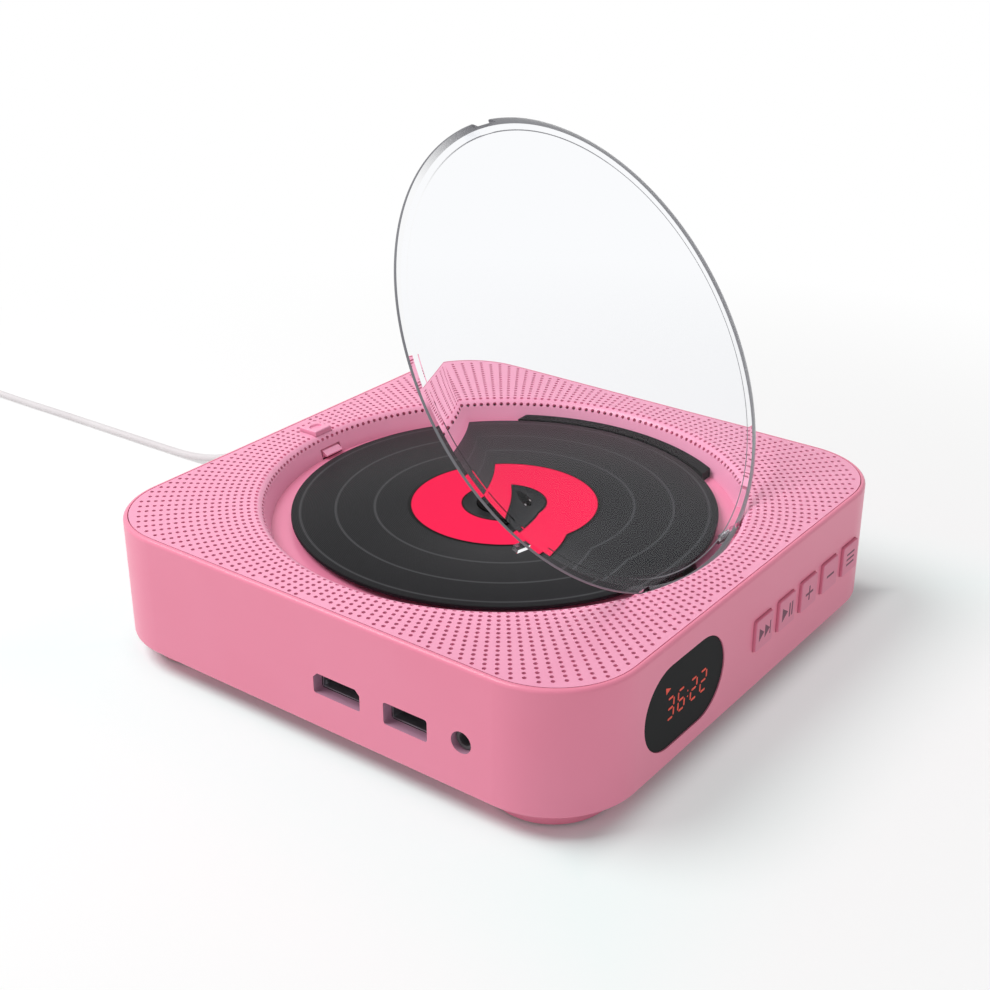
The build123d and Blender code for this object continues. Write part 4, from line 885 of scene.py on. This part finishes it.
# Display digits: seven-segment numbers, a colon and a play mark
WINDOW_FACE = 81.5
DIGIT_BOTTOM = 19.45
DIGIT_HEIGHT = 5.85
DIGIT_WIDTH = 2.9
DIGIT_LEFTS = (-43.6, -38.55, -32.6, -27.95)
DIGIT_TEXT = "3622"
COLON_Y = -34.05
COLON_ZS = (21.6, 23.2)
SEGMENTS = {
    "2": ("top", "upper_right", "middle", "lower_left", "bottom"),
    "3": ("top", "upper_right", "middle", "lower_right", "bottom"),
    "6": ("top", "upper_left", "middle", "lower_left", "lower_right", "bottom"),
}
SEGMENT_HALF = 0.3
SEGMENT_GAP = 0.45
SEGMENT_TIP = 0.4
SEGMENT_SHOULDER = 0.3
DOT_R = 0.25
PLAY_MARK = ((-44.8, 29.2), (-42.4, 28.2), (-44.5, 27.3))
MARK_DEPTH = 0.04


def segment_outline(which, left):
    width, height = DIGIT_WIDTH, DIGIT_HEIGHT
    low, mid, high = DIGIT_BOTTOM, DIGIT_BOTTOM + height / 2, DIGIT_BOTTOM + height
    ends = {
        "top": ((left, high), (left + width, high)),
        "middle": ((left, mid), (left + width, mid)),
        "bottom": ((left, low), (left + width, low)),
        "upper_left": ((left, mid), (left, high)),
        "upper_right": ((left + width, mid), (left + width, high)),
        "lower_left": ((left, low), (left, mid)),
        "lower_right": ((left + width, low), (left + width, mid)),
    }
    start, end = (Vector(p) for p in ends[which])
    along = (end - start).normalized()
    across = Vector((-along.y, along.x)) * SEGMENT_HALF
    start += along * SEGMENT_GAP
    end -= along * SEGMENT_GAP
    tip = along * SEGMENT_HALF * SEGMENT_TIP
    shoulder = along * SEGMENT_HALF * SEGMENT_SHOULDER
    return [
        start - tip,
        start + across + shoulder,
        end + across - shoulder,
        end + tip,
        end - across - shoulder,
        start - across + shoulder,
    ]


marks = []
for left, character in zip(DIGIT_LEFTS, DIGIT_TEXT):
    for which in SEGMENTS[character]:
        marks.append([tuple(p) for p in segment_outline(which, left)])
for colon_z in COLON_ZS:
    marks.append([(COLON_Y + u, colon_z + v) for u, v in ring_outline(DOT_R, 8)])
marks.append(PLAY_MARK)
digits = thin_marks("display_digits", marks, WINDOW_FACE, WINDOW_FACE + MARK_DEPTH, segment_red)
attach(digits, "case")


# Key icons: shallow marks on the caps, painted dark as the shade in their relief
KEY_FACE = 82.7
KEY_Z = 22.75
ICON_SUNK = 0.05
ICON_PROUD = 0.01
icons = {
    "key_skip": (3.5, [
        [(-3.0, 2.0), (-0.3, 0.0), (-3.0, -2.0)],
        [(0.1, 2.0), (2.8, 0.0), (0.1, -2.0)],
        [(2.8, 2.0), (3.3, 2.0), (3.3, -2.0), (2.8, -2.0)],
    ]),
    "key_play": (16.4, [
        [(-3.0, 2.1), (0.2, 0.0), (-3.0, -2.1)],
        [(0.9, 2.1), (1.6, 2.1), (1.6, -2.1), (0.9, -2.1)],
        [(2.3, 2.1), (3.0, 2.1), (3.0, -2.1), (2.3, -2.1)],
    ]),
    "key_plus": (29.3, [
        [(-2.2, 0.35), (-0.35, 0.35), (-0.35, 2.2), (0.35, 2.2), (0.35, 0.35), (2.2, 0.35),
         (2.2, -0.35), (0.35, -0.35), (0.35, -2.2), (-0.35, -2.2), (-0.35, -0.35), (-2.2, -0.35)],
    ]),
    "key_minus": (42.2, [
        [(-2.2, 0.35), (2.2, 0.35), (2.2, -0.35), (-2.2, -0.35)],
    ]),
    "key_function": (55.0, [
        [(-2.4, 1.9), (2.4, 1.9), (2.4, 1.3), (-2.4, 1.3)],
        [(-2.4, 0.3), (2.4, 0.3), (2.4, -0.3), (-2.4, -0.3)],
        [(-2.4, -1.3), (2.4, -1.3), (2.4, -1.9), (-2.4, -1.9)],
    ]),
}
for key_name, (key_y, outlines) in icons.items():
    placed = [[(key_y + u, KEY_Z + v) for u, v in outline] for outline in outlines]
    icon = thin_marks(
        key_name + "_icon", placed, KEY_FACE - ICON_SUNK, KEY_FACE + ICON_PROUD, icon_relief_shade
    )
    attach(icon, key_name + "_body")


# Materials of the CAD nodes that show as they are
node_materials = {
    "main_housing": body_pink,
    "disc_tub": tub_pink,
    "finger_pad": pad_black,
    "bottom_cover": body_pink,
    "feet": body_pink,
    "foot_pads": foot_rubber,
    "foot_screws": steel,
    "tub_screws": steel,
    "panel_screws": steel,
    "hinge_pins": steel,
    "lid_spring": spring_steel,
    "open_button": panel_pink,
    "latch": panel_pink,
    "latch_spring": spring_steel,
    "deck_chassis": steel,
    "deck_dampers": damper_rubber,
    "deck_screws": steel,
    "spindle_motor": steel,
    "turntable": hub_black,
    "clamp_balls": steel,
    "disc_label": label_red,
    "guide_rods": steel,
    "pickup_sled": sled_black,
    "pickup_lens": lens_glass,
    "lead_screw": steel,
    "sled_motor": steel,
    "lid_switch": black_matt,
    "main_board": board_green,
    "board_screws": steel,
    "main_chips": chip_black,
    "board_capacitors": black_matt,
    "hdmi_socket": socket_metal,
    "usb_socket": socket_metal,
    "av_jack": jack_grey,
    "power_board": board_green,
    "dc_jack": black_gloss,
    "display_board": board_green,
    "display_module": black_gloss,
    "ir_receiver": black_gloss,
    "display_window": window_black,
    "key_switches": chip_black,
    "key_skip": key_pink,
    "key_play": key_pink,
    "key_plus": key_pink,
    "key_minus": key_pink,
    "key_function": key_pink,
    "speaker_frames": steel,
    "speaker_cones": cone_paper,
    "speaker_magnets": steel,
    "ribbon_cable": ribbon,
    "dc_plug": plug_white,
    "cord_tie": plug_white,
    "far_plug": plug_white,
    "far_plug_shell": socket_metal,
}
for node_name, material in node_materials.items():
    node_object = nodes[node_name]
    node_object.data.materials.clear()
    node_object.data.materials.append(material)


# Floor and soft studio light
floor = mesh_object("floor", [(-6, -6, 0), (6, -6, 0), (6, 6, 0), (-6, 6, 0)], [(0, 1, 2, 3)], floor_mat)

LAMP_PLACE = (-0.62, -0.42, 1.1)
LAMP_AIM = (0, 0, 0.02)
lamp_data = bpy.data.lights.new("key_light", "AREA")
lamp_data.shape = "DISK"
lamp_data.size = 0.8
lamp_data.energy = 13.5
lamp = link(bpy.data.objects.new("key_light", lamp_data))
lamp.location = LAMP_PLACE
lamp.rotation_euler = (Vector(LAMP_AIM) - Vector(LAMP_PLACE)).to_track_quat("-Z", "Y").to_euler()

# The world lights softly, and is plain white where it is seen directly, in a reflection or through the lid
world = bpy.data.worlds.new("studio")
bpy.context.scene.world = world
world.use_nodes = True
world_tree = world.node_tree
world_tree.nodes.clear()
world_path = world_tree.nodes.new("ShaderNodeLightPath").outputs
soft = add_node(world_tree, "ShaderNodeBackground", Color=(1, 1, 1, 1), Strength=0.4)
white = add_node(world_tree, "ShaderNodeBackground", Color=(1, 1, 1, 1), Strength=1.0)
seen = add_math(world_tree, "MAXIMUM", world_path["Is Camera Ray"], world_path["Is Glossy Ray"])
seen = add_math(world_tree, "MAXIMUM", seen, world_path["Is Transmission Ray"])
world_out = world_tree.nodes.new("ShaderNodeOutputWorld")
world_shader = mix_shaders(world_tree, seen, soft.outputs[0], white.outputs[0])
world_tree.links.new(world_shader, world_out.inputs["Surface"])
